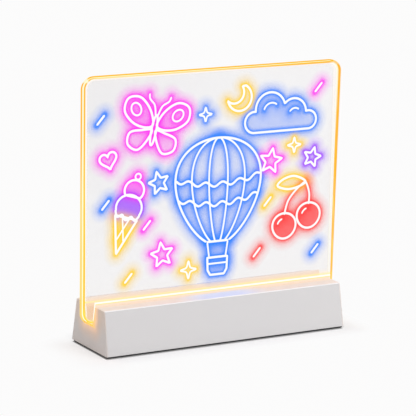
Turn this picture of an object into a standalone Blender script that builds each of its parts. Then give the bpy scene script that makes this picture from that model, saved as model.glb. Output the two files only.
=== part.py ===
"""A led drawing board: a clear acrylic panel standing in the lit slot of a low moulded base.

The panel slides up out of the slot.  Under the slot a strip of small leds shines into the panel's
lower edge.  The base is a drafted shell closed by a dark plate, with a flat cell, a control board, a
charging socket and a push button on its rear side.

X runs along the base, Y from the side that faces the reader to the rear, Z up.  The origin is on the
table under the middle of the base.  Every length is in metres.
"""

import math

import bmesh
import bpy
from mathutils import Vector

# Clearances that every seat and every soldered joint share
SEAT_GAP = 0.0003
SOLDER_GAP = 0.0001
OVERRUN = 0.004

# Corners of small moulded pieces, and the least flat that a round end keeps
SMALL_CORNER_RADIUS = 0.0002
FLAT_LEAST = 0.0001

# Clear panel
PANEL_WIDTH = 0.200
PANEL_HEIGHT = 0.170
PANEL_THICKNESS = 0.004
PANEL_CORNER_RADIUS = 0.0075
PANEL_CHAMFER = 0.0009

# Base housing, whose four sides lean in towards the top
BASE_LENGTH = 0.190
BASE_DEPTH = 0.054
BASE_HEIGHT = 0.032
END_DRAFT = 0.0007
SIDE_DRAFT = 0.00575
BASE_CORNER_RADIUS = 0.0012
INNER_CORNER_RADIUS = 0.0006
TOP_EDGE_RADIUS = 0.0006
WALL = 0.0022
TOP_WALL = 0.0024

# Slot in the housing's top, and the clear channel that lines it and grips the panel's foot
SLOT_DRAFT = 0.0026
SLOT_CHAMFER = 0.0003
TROUGH_WALL = 0.0020
TROUGH_FLOOR = 0.0020
LINER_WALL = 0.0012
LINER_FLOOR = 0.0009
LINER_LIP = 0.0032
GRIP_THICKNESS = 0.0014
GRIP_HEIGHT = 0.0044
GRIP_LEAD = 0.0006
GRIP_SETBACK = 0.0060
GRIP_RELIEF = 0.00015
WINDOW_BRIDGE = 0.0070

# Stiffening ribs under the housing's top
RIB_COUNT = 5
RIB_THICKNESS = 0.0014
RIB_FOOT_RISE = 0.0030

# Posts inside the housing that take the cover's screws; the bay between them holds the works
BOSS_RADIUS = 0.00325
BOSS_END_INSET = 0.0250
BOSS_SIDE_INSET = 0.00475
BOSS_GUSSET = 0.0012
GUSSET_SETBACK = 0.0014

# Bottom cover
COVER_THICKNESS = 0.0022
COVER_FLANGE = 0.0007
COVER_INSET = 0.0008
FENCE_THICKNESS = 0.0012
FENCE_HEIGHT = 0.0040
FENCE_SHARE = 0.5
PEG_RADIUS = 0.0020

# Foot pads
FOOT_RADIUS = 0.0045
FOOT_THICKNESS = 0.0009
FOOT_PROUD = 0.0003
FOOT_INSET = 0.0135
FOOT_SIDE_INSET = 0.0080
FOOT_CHAMFER = 0.0002

# Long screws through the cover
COVER_SCREW_RADIUS = 0.0011
COVER_SCREW_LENGTH = 0.0085
COVER_HEAD_RADIUS = 0.0022
COVER_HEAD_HEIGHT = 0.0009
COVER_HEAD_RECESS = 0.0015

# Short screws of both boards
BOARD_SCREW_RADIUS = 0.0008
BOARD_HEAD_RADIUS = 0.0015
BOARD_HEAD_HEIGHT = 0.0010
SCREW_CHAMFER = 0.0003

# Led board and its leds
LED_BOARD_THICKNESS = 0.0010
LED_BOARD_WIDTH = 0.0100
LED_BOARD_END_GAP = 0.0023
LED_BOARD_CORNER_RADIUS = 0.0008
LED_BOARD_SCREW_BITE = 0.0012
LED_BOARD_SCREW_INSET = 0.0027
LED_COUNT = 12
LED_END_MARGIN = 0.0075
LED_LENGTH = 0.0035
LED_WIDTH = 0.0028
LED_HEIGHT = 0.0014
LED_RIM = 0.0004
LED_CUP_DEPTH = 0.0004
LED_CUP_RADIUS = 0.0004
RESISTOR_COUNT = 4
RESISTOR_LENGTH = 0.0020
RESISTOR_WIDTH = 0.0012
RESISTOR_HEIGHT = 0.0006

# Flat cell on its foam tape
CELL_BAY_SHARE = 0.375
CELL_WIDTH = 0.034
CELL_THICKNESS = 0.0070
CELL_CORNER_RADIUS = 0.0030
CELL_EDGE_RADIUS = 0.0016
CELL_END_GAP = 0.0028
CELL_HEADROOM = 0.0021
TAPE_INSET = 0.005
TAPE_THICKNESS = 0.0010

# Control board
BOARD_BAY_SHARE = 0.42
BOARD_DEPTH = 0.0248
BOARD_THICKNESS = 0.0016
BOARD_CORNER_RADIUS = 0.0010
BOARD_CLEARANCE = 0.0029
BOARD_SIDE_GAP = 0.0008
BOARD_EDGE_GAP = 0.0009
BOARD_POST_RADIUS = 0.0025
BOARD_SCREW_BITE = 0.0050

# Charging socket
SOCKET_WIDTH = 0.0090
SOCKET_HEIGHT = 0.0033
SOCKET_LENGTH = 0.0073
SOCKET_WALL = 0.0003
SOCKET_INSET = 0.0007
TONGUE_WIDTH = 0.0066
TONGUE_HEIGHT = 0.0007
TONGUE_SETBACK = 0.0008
TONGUE_BLOCK = 0.0014

# Push button and the switch behind it
BUTTON_RADIUS = 0.0028
BUTTON_PROUD = 0.0012
BUTTON_EDGE = 0.0005
BUTTON_FLANGE = 0.0011
BUTTON_FLANGE_THICKNESS = 0.0008
BUTTON_STEM_RADIUS = 0.0015
BUTTON_STEM_LENGTH = 0.0008
BUTTON_TRAVEL = 0.0010
COLLAR_RADIUS = 0.0041
COLLAR_PROUD = 0.0004
SWITCH_WIDTH = 0.0062
SWITCH_DEPTH = 0.0035
SWITCH_HEIGHT = 0.0072
SWITCH_AXIS_HEIGHT = 0.0047
PLUNGER_RADIUS = 0.0014
PLUNGER_PROUD = 0.0024
PLUNGER_ENGAGED = 0.0010

# Chips, coil and capacitors on the control board
CHIP_LENGTH = 0.0049
CHIP_WIDTH = 0.0039
CHIP_HEIGHT = 0.0015
CHIP_SLOPE = 0.0003
CHIP_LEG_PITCH = 0.00127
CHIP_LEG_WIDTH = 0.0005
CHIP_LEG_REACH = 0.0010
CHIP_LEG_HEIGHT = 0.0007
CHIP_LEG_THICKNESS = 0.0002
CHIP_LEGS_PER_SIDE = 4
COIL_SIZE = 0.0050
COIL_HEIGHT = 0.0026
COIL_CORNER_RADIUS = 0.0012
COIL_CORE_RADIUS = 0.0017
COIL_CORE_PROUD = 0.0003
CAN_RADIUS = 0.0020
CAN_HEIGHT = 0.0046
CAN_GROOVE = 0.0002
CAN_FOOT_RADIUS = 0.0023
CAN_FOOT_HEIGHT = 0.0008

# Plugs and sockets of the two lead pairs
HEADER_LENGTH = 0.0060
HEADER_WIDTH = 0.0062
HEADER_HEIGHT = 0.0042
HEADER_WALL = 0.0006
HEADER_DEPTH = 0.0044
PLUG_PROUD = 0.0014
PLUG_KEY_WIDTH = 0.0016
PLUG_KEY_HEIGHT = 0.0004
LEAD_RADIUS = 0.0005
LEAD_SPACING = 0.0020
LEAD_POINTS = 12
LEAD_TURN_SHARE = 0.42
LED_LEAD_SETBACK = 0.0050
CELL_LEAD_OFFSET = 0.0080

# Places on the control board, as shares of its length from the left and of its depth from the front
BATTERY_HEADER_SHARE = (0.075, 0.50)
LED_HEADER_SHARE = (0.075, 0.16)
SOCKET_X_SHARE = 0.41
SWITCH_X_SHARE = 0.71
CHARGER_CHIP_SHARE = (0.40, 0.50)
DRIVER_CHIP_SHARE = (0.62, 0.20)
COIL_SHARE = (0.80, 0.20)
CAPACITOR_SHARES = ((0.27, 0.20), (0.42, 0.20))
BOARD_POST_SHARES = ((0.20, 0.79), (0.91, 0.52))
PEG_SHARES = ((0.20, 0.20), (0.90, 0.20))

# Facets of round work, and the angle in degrees from which an edge is drawn sharp
ROUND_SEGMENTS = 24
SMALL_SEGMENTS = 12
CORNER_STEPS = 3
PANEL_CORNER_STEPS = 10
SHARP_ANGLE = 30

# Heights that stack up from the table
COVER_BOTTOM = FOOT_PROUD
COVER_TOP = COVER_BOTTOM + COVER_THICKNESS
RIM = COVER_BOTTOM + COVER_FLANGE + SEAT_GAP
CELL_BOTTOM = COVER_TOP + SEAT_GAP + TAPE_THICKNESS + SEAT_GAP
CELL_TOP = CELL_BOTTOM + CELL_THICKNESS
LED_BOARD_BOTTOM = CELL_TOP + CELL_HEADROOM + BOARD_HEAD_HEIGHT
LED_BOARD_TOP = LED_BOARD_BOTTOM + LED_BOARD_THICKNESS
TROUGH_BOTTOM = LED_BOARD_TOP + SEAT_GAP
SLOT_FLOOR = TROUGH_BOTTOM + TROUGH_FLOOR
LINER_BOTTOM = SLOT_FLOOR + SEAT_GAP
LINER_FLOOR_TOP = LINER_BOTTOM + LINER_FLOOR
PANEL_BOTTOM = LINER_FLOOR_TOP + SEAT_GAP
BOARD_BOTTOM = COVER_TOP + BOARD_CLEARANCE
BOARD_TOP = BOARD_BOTTOM + BOARD_THICKNESS
INNER_TOP = BASE_HEIGHT - TOP_WALL

# Half widths of the slot stack, from the panel outwards
LINER_INNER_HALF = PANEL_THICKNESS / 2 + SEAT_GAP
LINER_OUTER_HALF = LINER_INNER_HALF + GRIP_THICKNESS + LINER_WALL
SLOT_HALF = LINER_OUTER_HALF + SEAT_GAP


def draft_at(height, draft):
    """How far a side has leaned in at this height: nothing at the rim, the whole draft at the top."""
    return draft * (height - RIM) / (BASE_HEIGHT - RIM)


def outer_rear(height):
    """Y of the rear wall's outer face at this height."""
    return BASE_DEPTH / 2 - draft_at(height, SIDE_DRAFT)


def inner_rear(height):
    """Y of the rear wall's inner face at this height."""
    return outer_rear(height) - WALL


def inner_end(height):
    """X of the end wall's inner face at this height."""
    return BASE_LENGTH / 2 - draft_at(height, END_DRAFT) - WALL


# Places along and across the base that several pieces share
BOSS_X = BASE_LENGTH / 2 - BOSS_END_INSET
BOSS_Y = BASE_DEPTH / 2 - SIDE_DRAFT - BOSS_SIDE_INSET
BAY_LENGTH = 2 * (BOSS_X - BOSS_RADIUS)
BOARD_LENGTH = BOARD_BAY_SHARE * BAY_LENGTH
BOARD_RIGHT = BAY_LENGTH / 2 - BOARD_SIDE_GAP
BOARD_LEFT = BOARD_RIGHT - BOARD_LENGTH
BOARD_REAR = inner_rear(BOARD_TOP) - BOARD_EDGE_GAP
BOARD_FRONT = BOARD_REAR - BOARD_DEPTH
CELL_LENGTH = CELL_BAY_SHARE * BAY_LENGTH
CELL_LEFT = CELL_END_GAP - BAY_LENGTH / 2
CELL_RIGHT = CELL_LEFT + CELL_LENGTH
LED_BOARD_HALF = inner_end(LED_BOARD_TOP) - LED_BOARD_END_GAP
LED_PITCH = 2 * (LED_BOARD_HALF - LED_END_MARGIN) / (LED_COUNT - 1)
LED_SCREW_X = LED_BOARD_HALF - LED_BOARD_SCREW_INSET
BUTTON_X = BOARD_LEFT + SWITCH_X_SHARE * BOARD_LENGTH
BUTTON_Z = BOARD_TOP + SWITCH_AXIS_HEIGHT
COLLAR_FACE = inner_rear(BUTTON_Z + COLLAR_RADIUS) - COLLAR_PROUD
BUTTON_FLANGE_REAR = COLLAR_FACE - SEAT_GAP
BUTTON_STEM_END = BUTTON_FLANGE_REAR - BUTTON_FLANGE_THICKNESS - BUTTON_STEM_LENGTH
PLUNGER_TIP = BUTTON_STEM_END - SOLDER_GAP
SWITCH_REAR = PLUNGER_TIP - PLUNGER_PROUD
SOCKET_X = BOARD_LEFT + SOCKET_X_SHARE * BOARD_LENGTH
SOCKET_Z = BOARD_TOP + SOLDER_GAP + SOCKET_HEIGHT / 2
SOCKET_MOUTH = outer_rear(SOCKET_Z) - SOCKET_INSET


def on_board(share):
    """X and Y of a place on the control board."""
    along, across = share
    return BOARD_LEFT + along * BOARD_LENGTH, BOARD_FRONT + across * BOARD_DEPTH


def clear_scene():
    for found in list(bpy.data.objects):
        bpy.data.objects.remove(found, do_unlink=True)


def finish_material(name, colour, roughness, metallic=0.0, alpha=1.0):
    """A plain finish: colour, roughness, whether it is metal, and how much it lets through."""
    made = bpy.data.materials.new(name)
    made.use_nodes = True
    shader = made.node_tree.nodes["Principled BSDF"]
    shader.inputs["Base Color"].default_value = (*colour, 1.0)
    shader.inputs["Roughness"].default_value = roughness
    shader.inputs["Metallic"].default_value = metallic
    shader.inputs["Alpha"].default_value = alpha
    made.diffuse_color = (*colour, alpha)
    return made


def add_object(name, shape, finish=None, place=(0, 0, 0), smooth=True):
    """Turns a bmesh into a named object; without a finish it is a guide for cutting."""
    bmesh.ops.recalc_face_normals(shape, faces=shape.faces)
    mesh = bpy.data.meshes.new(name)
    shape.to_mesh(mesh)
    shape.free()
    if smooth:
        mesh.shade_smooth()
        mesh.set_sharp_from_angle(angle=math.radians(SHARP_ANGLE))
    made = bpy.data.objects.new(name, mesh)
    made.location = place
    bpy.context.scene.collection.objects.link(made)
    if finish is None:
        made.hide_render = True
        made.display_type = "WIRE"
    else:
        mesh.materials.append(finish)
    return made


def combine(target, other, operation):
    """Adds, subtracts or intersects another object, as a live Boolean."""
    modifier = target.modifiers.new(operation.lower() + "_" + other.name, "BOOLEAN")
    modifier.operation = operation
    modifier.solver = "EXACT"
    modifier.object = other


def add_loft(shape, rings):
    """A closed skin over rings of equal count, capped at both ends."""
    rows = [[shape.verts.new(point) for point in ring] for ring in rings]
    count = len(rows[0])
    for low, high in zip(rows, rows[1:]):
        for i in range(count):
            j = (i + 1) % count
            shape.faces.new((low[i], low[j], high[j], high[i]))
    shape.faces.new(list(reversed(rows[0])))
    shape.faces.new(rows[-1])


def add_turned(shape, profile, segments):
    """A closed solid turned about Z from (radius, height) points that start and end on the axis."""
    rows = []
    for radius, height in profile:
        if radius == 0:
            rows.append([shape.verts.new((0, 0, height))])
        else:
            turns = [2 * math.pi * i / segments for i in range(segments)]
            points = [(radius * math.cos(a), radius * math.sin(a), height) for a in turns]
            rows.append([shape.verts.new(point) for point in points])
    for low, high in zip(rows, rows[1:]):
        for i in range(segments):
            j = (i + 1) % segments
            corners = [low[i % len(low)], low[j % len(low)], high[j % len(high)], high[i % len(high)]]
            unique = list(dict.fromkeys(corners))
            shape.faces.new(unique)


def turned(name, profile, finish=None, place=(0, 0, 0), segments=ROUND_SEGMENTS):
    shape = bmesh.new()
    add_turned(shape, profile, segments)
    return add_object(name, shape, finish, place)


def rounded_outline(length, width, radius, steps=CORNER_STEPS):
    """A rounded rectangle about the origin, anticlockwise, as (x, y) points."""
    points = []
    for quarter, (sx, sy) in enumerate(((1, 1), (-1, 1), (-1, -1), (1, -1))):
        middle_x = sx * (length / 2 - radius)
        middle_y = sy * (width / 2 - radius)
        for step in range(steps + 1):
            turn = math.pi / 2 * (quarter + step / steps)
            points.append((middle_x + radius * math.cos(turn), middle_y + radius * math.sin(turn)))
    return points


def at_height(outline, height, centre=(0, 0)):
    return [(x + centre[0], y + centre[1], height) for x, y in outline]


def stacked(name, layers, finish=None, place=(0, 0, 0), smooth=True):
    """A solid from (outline, height) layers, lowest first."""
    shape = bmesh.new()
    add_loft(shape, [at_height(outline, height) for outline, height in layers])
    return add_object(name, shape, finish, place, smooth)


def add_block(shape, low, high):
    """An upright block between two opposite corners."""
    corners = [(low[0], low[1]), (high[0], low[1]), (high[0], high[1]), (low[0], high[1])]
    add_loft(shape, [at_height(corners, low[2]), at_height(corners, high[2])])


def add_rod(shape, centre, low, high, radius, segments=SMALL_SEGMENTS):
    """An upright rod."""
    turns = [2 * math.pi * i / segments for i in range(segments)]
    circle = [(radius * math.cos(a), radius * math.sin(a)) for a in turns]
    add_loft(shape, [at_height(circle, low, centre), at_height(circle, high, centre)])


def add_bar(shape, profile, low_x, high_x):
    """A bar along X with a (y, z) profile."""
    add_loft(shape, [[(x, y, z) for y, z in profile] for x in (low_x, high_x)])


def boss_places():
    return [(sx * BOSS_X, sy * BOSS_Y) for sx in (-1, 1) for sy in (-1, 1)]


def led_screw_places():
    return [(x, 0) for x in (-LED_SCREW_X, 0, LED_SCREW_X)]


def led_places():
    middle = (LED_COUNT - 1) / 2
    return [(i - middle) * LED_PITCH for i in range(LED_COUNT)]


def housing_outline(height, inset, radius):
    """The housing's outline at a height, drawn in by an inset."""
    length = BASE_LENGTH - 2 * draft_at(height, END_DRAFT) - 2 * inset
    depth = BASE_DEPTH - 2 * draft_at(height, SIDE_DRAFT) - 2 * inset
    return rounded_outline(length, depth, radius)


def housing_skin(finish):
    """The outside of the base: a drafted block whose top edge is rounded."""
    layers = [(housing_outline(RIM, 0, BASE_CORNER_RADIUS), RIM)]
    for step in range(CORNER_STEPS + 1):
        turn = math.pi / 2 * step / CORNER_STEPS
        height = BASE_HEIGHT - TOP_EDGE_RADIUS * (1 - math.sin(turn))
        inset = TOP_EDGE_RADIUS * (1 - math.cos(turn))
        layers.append((housing_outline(height, inset, BASE_CORNER_RADIUS), height))
    return stacked("base_housing", layers, finish, smooth=False)


def housing_core():
    """The space inside the shell, as the mould's core: open below, drafted like the outside."""
    low = RIM - OVERRUN
    layers = [
        (housing_outline(low, WALL, INNER_CORNER_RADIUS), low),
        (housing_outline(INNER_TOP, WALL, INNER_CORNER_RADIUS), INNER_TOP),
    ]
    return stacked("housing_core", layers, smooth=False)


def trough_form():
    """The outside of the trough that hangs under the slot, over the core's whole length."""
    low = SLOT_HALF + TROUGH_WALL
    high = low + SLOT_DRAFT
    top = INNER_TOP + OVERRUN
    profile = [(-low, TROUGH_BOTTOM), (low, TROUGH_BOTTOM), (high, top), (-high, top)]
    shape = bmesh.new()
    add_bar(shape, profile, -BASE_LENGTH / 2 - OVERRUN, BASE_LENGTH / 2 + OVERRUN)
    return add_object("trough_form", shape)


def post_forms():
    """Posts for the cover's screws and for the control board, down from the housing's top."""
    shape = bmesh.new()
    top = INNER_TOP + OVERRUN
    for place in boss_places():
        add_rod(shape, place, COVER_TOP + SEAT_GAP, top, BOSS_RADIUS, ROUND_SEGMENTS)
    for share in BOARD_POST_SHARES:
        add_rod(shape, on_board(share), BOARD_TOP + SEAT_GAP, top, BOARD_POST_RADIUS)
    return add_object("post_forms", shape)


def rib_forms():
    """Cross ribs from the long walls to the trough, and a gusset from each screw post to its wall."""
    shape = bmesh.new()
    top = INNER_TOP + OVERRUN
    reach = BASE_DEPTH / 2
    pitch = 2 * BOSS_X / (RIB_COUNT + 1)
    for i in range(RIB_COUNT):
        x = (i - (RIB_COUNT - 1) / 2) * pitch
        low = (x - RIB_THICKNESS / 2, -reach, TROUGH_BOTTOM + RIB_FOOT_RISE)
        high = (x + RIB_THICKNESS / 2, reach, top)
        add_block(shape, low, high)
    foot = COVER_TOP + GUSSET_SETBACK
    for x, y in boss_places():
        ends = sorted((y, math.copysign(reach, y)))
        low = (x - BOSS_GUSSET / 2, ends[0], foot)
        add_block(shape, low, (x + BOSS_GUSSET / 2, ends[1], top))
    return add_object("rib_forms", shape)


def collar_form():
    """The flat-faced guide round the button's hole, inside the rear wall."""
    shape = bmesh.new()
    add_rod(shape, (0, 0), COLLAR_FACE, BASE_DEPTH, COLLAR_RADIUS, ROUND_SEGMENTS)
    return lay_along_y(add_object("collar_form", shape), BUTTON_X, BUTTON_Z)


def lay_along_y(made, x, z):
    """Turns a piece built along Z so that its height runs along +Y, with its axis at x and z."""
    made.location = (x, 0, z)
    made.rotation_euler = (-math.pi / 2, 0, 0)
    return made


def mirrored(right):
    """A closed outline across the slot, from the points of its right half in order."""
    return right + [(-y, z) for y, z in reversed(right)]


def slot_cutter():
    """The slot, right through both ends, flaring from its floor to its eased mouth."""
    mouth = SLOT_HALF + SLOT_DRAFT
    eased = BASE_HEIGHT - SLOT_CHAMFER
    top = BASE_HEIGHT + OVERRUN
    flare = mouth + SLOT_CHAMFER
    right = [(SLOT_HALF, SLOT_FLOOR), (mouth, eased), (flare, BASE_HEIGHT), (flare, top)]
    shape = bmesh.new()
    add_bar(shape, mirrored(right), -PANEL_WIDTH, PANEL_WIDTH)
    return add_object("slot_cutter", shape)


def window_and_pilot_cutter():
    """Light windows in the slot's floor, and the pilot holes of every screw."""
    shape = bmesh.new()
    half = LED_WIDTH / 2 + SEAT_GAP
    far = led_places()[-1] + LED_LENGTH / 2 + SEAT_GAP
    for side in (-1, 1):
        ends = sorted((side * WINDOW_BRIDGE / 2, side * far))
        low = (ends[0], -half, TROUGH_BOTTOM - OVERRUN)
        add_block(shape, low, (ends[1], half, SLOT_FLOOR + SEAT_GAP))
    for place in led_screw_places():
        top = TROUGH_BOTTOM + LED_BOARD_SCREW_BITE + SEAT_GAP
        add_rod(shape, place, TROUGH_BOTTOM - OVERRUN, top, BOARD_SCREW_RADIUS + SEAT_GAP)
    for place in boss_places():
        top = COVER_TOP + COVER_SCREW_LENGTH
        add_rod(shape, place, COVER_BOTTOM, top, COVER_SCREW_RADIUS + SEAT_GAP)
    for share in BOARD_POST_SHARES:
        top = BOARD_TOP + BOARD_SCREW_BITE + 2 * SEAT_GAP
        add_rod(shape, on_board(share), BOARD_TOP, top, BOARD_SCREW_RADIUS + SEAT_GAP)
    return add_object("window_and_pilot_cutter", shape)


def button_hole_cutter():
    shape = bmesh.new()
    add_rod(shape, (0, 0), 0, BASE_DEPTH, BUTTON_RADIUS + SEAT_GAP, ROUND_SEGMENTS)
    return lay_along_y(add_object("button_hole_cutter", shape), BUTTON_X, BUTTON_Z)


def socket_outline(grow):
    """The charging socket's rounded slot shape, grown or shrunk all round."""
    width = SOCKET_WIDTH + 2 * grow
    height = SOCKET_HEIGHT + 2 * grow
    return rounded_outline(width, height, height / 2 - FLAT_LEAST, SMALL_SEGMENTS // 2)


def socket_hole_cutter():
    layers = [(socket_outline(SEAT_GAP), y) for y in (BOARD_REAR - SOCKET_LENGTH, BASE_DEPTH)]
    return lay_along_y(stacked("socket_hole_cutter", layers), SOCKET_X, SOCKET_Z)


def build_housing(finish):
    """The moulded shell: what the core leaves, less the slot, the windows and the holes."""
    housing = housing_skin(finish)
    core = housing_core()
    for form in (trough_form(), post_forms(), rib_forms(), collar_form()):
        combine(core, form, "DIFFERENCE")
    combine(housing, core, "DIFFERENCE")
    for cutter in (slot_cutter(), window_and_pilot_cutter(), button_hole_cutter(), socket_hole_cutter()):
        combine(housing, cutter, "DIFFERENCE")


def liner_outer(height):
    """Half width of the clear channel at this height: it leans outwards with the slot."""
    return LINER_OUTER_HALF + SLOT_DRAFT * (height - LINER_BOTTOM) / (BASE_HEIGHT - LINER_BOTTOM)


def build_liner(finish):
    """The clear channel in the slot: round lips above the base, and a grip on each side of the foot."""
    lip_round = LINER_WALL / 2
    lip_low = BASE_HEIGHT + LINER_LIP - lip_round
    outer = [(LINER_OUTER_HALF, LINER_BOTTOM), (liner_outer(lip_low), lip_low)]
    turns = [math.pi * step / (2 * CORNER_STEPS) for step in range(1, 2 * CORNER_STEPS)]
    lip_middle = liner_outer(lip_low) - lip_round
    lip = [(lip_middle + lip_round * math.cos(a), lip_low + lip_round * math.sin(a)) for a in turns]
    nose = LINER_FLOOR_TOP + GRIP_HEIGHT
    root = nose + GRIP_THICKNESS
    inner = [
        (liner_outer(lip_low) - LINER_WALL, lip_low),
        (liner_outer(root) - LINER_WALL, root),
        (LINER_INNER_HALF + GRIP_LEAD, nose),
        (LINER_INNER_HALF, nose - GRIP_LEAD),
        (LINER_INNER_HALF, LINER_FLOOR_TOP),
    ]
    half = BASE_LENGTH / 2 - END_DRAFT
    shape = bmesh.new()
    add_bar(shape, mirrored(outer + lip + inner), -half, half)
    liner = add_object("slot_liner", shape, finish)
    relieved = bmesh.new()
    low, high = LINER_FLOOR_TOP - GRIP_RELIEF, BASE_HEIGHT + LINER_LIP + OVERRUN
    side = [(liner_outer(z) - LINER_WALL + GRIP_RELIEF, z) for z in (low, high)]
    for end in (-1, 1):
        reach = sorted((end * (half - GRIP_SETBACK), end * (half + OVERRUN)))
        add_bar(relieved, mirrored(side), *reach)
    combine(liner, add_object("liner_end_cutter", relieved), "DIFFERENCE")


def build_cover(finish):
    """The dark bottom plate: a flange under the rim, a step that fits inside it, ribs and pegs."""
    flange_top = COVER_BOTTOM + COVER_FLANGE
    flange = housing_outline(RIM, COVER_INSET, BASE_CORNER_RADIUS)
    step = housing_outline(COVER_TOP, WALL + SEAT_GAP, INNER_CORNER_RADIUS)
    layers = [(flange, COVER_BOTTOM), (flange, flange_top), (step, flange_top), (step, COVER_TOP)]
    cover = stacked("bottom_cover", layers, finish, smooth=False)
    combine(cover, cover_rib_forms((flange_top + COVER_TOP) / 2), "UNION")
    combine(cover, cover_hole_cutter(), "DIFFERENCE")


def cover_rib_forms(root):
    """The fence round the cell and the pegs under the control board."""
    shape = bmesh.new()
    top = COVER_TOP + FENCE_HEIGHT
    middle = (CELL_LEFT + CELL_RIGHT) / 2
    half_length, half_width = CELL_LENGTH / 2, CELL_WIDTH / 2
    reach = FENCE_SHARE * half_length
    for side in (-1, 1):
        near = half_width + SEAT_GAP
        ends = sorted((side * near, side * (near + FENCE_THICKNESS)))
        add_block(shape, (middle - reach, ends[0], root), (middle + reach, ends[1], top))
        near = half_length + SEAT_GAP
        ends = sorted((middle + side * near, middle + side * (near + FENCE_THICKNESS)))
        for across in (-1, 1):
            far = sorted((across * FENCE_SHARE * half_width, across * half_width))
            add_block(shape, (ends[0], far[0], root), (ends[1], far[1], top))
    for share in PEG_SHARES:
        add_rod(shape, on_board(share), root, BOARD_BOTTOM - SEAT_GAP, PEG_RADIUS)
    return add_object("cover_rib_forms", shape)


def foot_places():
    x = BASE_LENGTH / 2 - FOOT_INSET
    y = BASE_DEPTH / 2 - FOOT_SIDE_INSET
    return [(sx * x, sy * y) for sx in (-1, 1) for sy in (-1, 1)]


def cover_hole_cutter():
    """Clearance holes with sunk seats for the screws, and shallow beds for the foot pads."""
    shape = bmesh.new()
    for place in boss_places():
        seat = COVER_BOTTOM + COVER_HEAD_RECESS
        wide = COVER_HEAD_RADIUS + SEAT_GAP
        narrow = COVER_SCREW_RADIUS + SEAT_GAP
        low = COVER_BOTTOM - OVERRUN
        high = COVER_TOP + OVERRUN
        steps = [(0, low), (wide, low), (wide, seat), (narrow, seat), (narrow, high), (0, high)]
        part = bmesh.new()
        add_turned(part, steps, ROUND_SEGMENTS)
        bmesh.ops.translate(part, verts=part.verts, vec=Vector((*place, 0)))
        merge_shape(shape, part)
    for place in foot_places():
        bed = FOOT_THICKNESS + SEAT_GAP
        add_rod(shape, place, COVER_BOTTOM - OVERRUN, bed, FOOT_RADIUS + SEAT_GAP, ROUND_SEGMENTS)
    return add_object("cover_hole_cutter", shape)


def merge_shape(shape, part):
    """Copies one bmesh's faces into another and frees it."""
    copies = {vert: shape.verts.new(vert.co) for vert in part.verts}
    for face in part.faces:
        shape.faces.new([copies[vert] for vert in face.verts])
    part.free()


def build_feet(finish):
    inner = FOOT_RADIUS - FOOT_CHAMFER
    profile = [
        (0, 0),
        (inner, 0),
        (FOOT_RADIUS, FOOT_CHAMFER),
        (FOOT_RADIUS, FOOT_THICKNESS),
        (0, FOOT_THICKNESS),
    ]
    for i, (x, y) in enumerate(foot_places()):
        turned(f"foot_pad_{i + 1}", profile, finish, (x, y, 0))


def screw_profile(head_radius, head_height, radius, length):
    """A screw standing on its head: a chamfered pan head, then the shank with a short point."""
    return [
        (0, 0),
        (head_radius - SCREW_CHAMFER, 0),
        (head_radius, SCREW_CHAMFER),
        (head_radius, head_height),
        (radius, head_height),
        (radius, head_height + length - radius),
        (radius / 2, head_height + length),
        (0, head_height + length),
    ]


def build_cover_screws(finish):
    profile = screw_profile(COVER_HEAD_RADIUS, COVER_HEAD_HEIGHT, COVER_SCREW_RADIUS, COVER_SCREW_LENGTH)
    bottom = COVER_BOTTOM + COVER_HEAD_RECESS - SEAT_GAP - COVER_HEAD_HEIGHT
    for i, (x, y) in enumerate(boss_places()):
        turned(f"cover_screw_{i + 1}", profile, finish, (x, y, bottom), SMALL_SEGMENTS)


def build_led_board(finish):
    """The long white board under the slot, with a hole at each end and in the middle."""
    outline = rounded_outline(2 * LED_BOARD_HALF, LED_BOARD_WIDTH, LED_BOARD_CORNER_RADIUS)
    layers = [(outline, LED_BOARD_BOTTOM), (outline, LED_BOARD_TOP)]
    board = stacked("led_board", layers, finish, smooth=False)
    shape = bmesh.new()
    for place in led_screw_places():
        low = LED_BOARD_BOTTOM - OVERRUN
        add_rod(shape, place, low, LED_BOARD_TOP + OVERRUN, BOARD_SCREW_RADIUS + SEAT_GAP)
    combine(board, add_object("led_board_hole_cutter", shape), "DIFFERENCE")


def build_leds(finish):
    """Small square leds with a shallow cup in the top of each."""
    cup_length = LED_LENGTH - 2 * LED_RIM
    cup_width = LED_WIDTH - 2 * LED_RIM
    outer = rounded_outline(LED_LENGTH, LED_WIDTH, SMALL_CORNER_RADIUS, 1)
    cup = rounded_outline(cup_length, cup_width, LED_CUP_RADIUS, 1)
    layers = [(outer, 0), (outer, LED_HEIGHT), (cup, LED_HEIGHT), (cup, LED_HEIGHT - LED_CUP_DEPTH)]
    for i, x in enumerate(led_places()):
        stacked(f"led_{i + 1}", layers, finish, (x, 0, LED_BOARD_TOP + SOLDER_GAP))


def build_led_resistors(finish):
    """One resistor for each group of leds, on the board's underside."""
    outline = rounded_outline(RESISTOR_LENGTH, RESISTOR_WIDTH, SMALL_CORNER_RADIUS, 1)
    layers = [(outline, 0), (outline, RESISTOR_HEIGHT)]
    group = LED_COUNT // RESISTOR_COUNT
    for i in range(RESISTOR_COUNT):
        x = led_places()[i * group + 1]
        z = LED_BOARD_BOTTOM - SOLDER_GAP - RESISTOR_HEIGHT
        stacked(f"led_resistor_{i + 1}", layers, finish, (x, 0, z))


def build_led_board_screws(finish):
    length = LED_BOARD_THICKNESS + SEAT_GAP + LED_BOARD_SCREW_BITE
    profile = screw_profile(BOARD_HEAD_RADIUS, BOARD_HEAD_HEIGHT, BOARD_SCREW_RADIUS, length)
    for i, (x, y) in enumerate(led_screw_places()):
        z = LED_BOARD_BOTTOM - BOARD_HEAD_HEIGHT - SOLDER_GAP
        turned(f"led_board_screw_{i + 1}", profile, finish, (x, y, z), SMALL_SEGMENTS)


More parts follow.
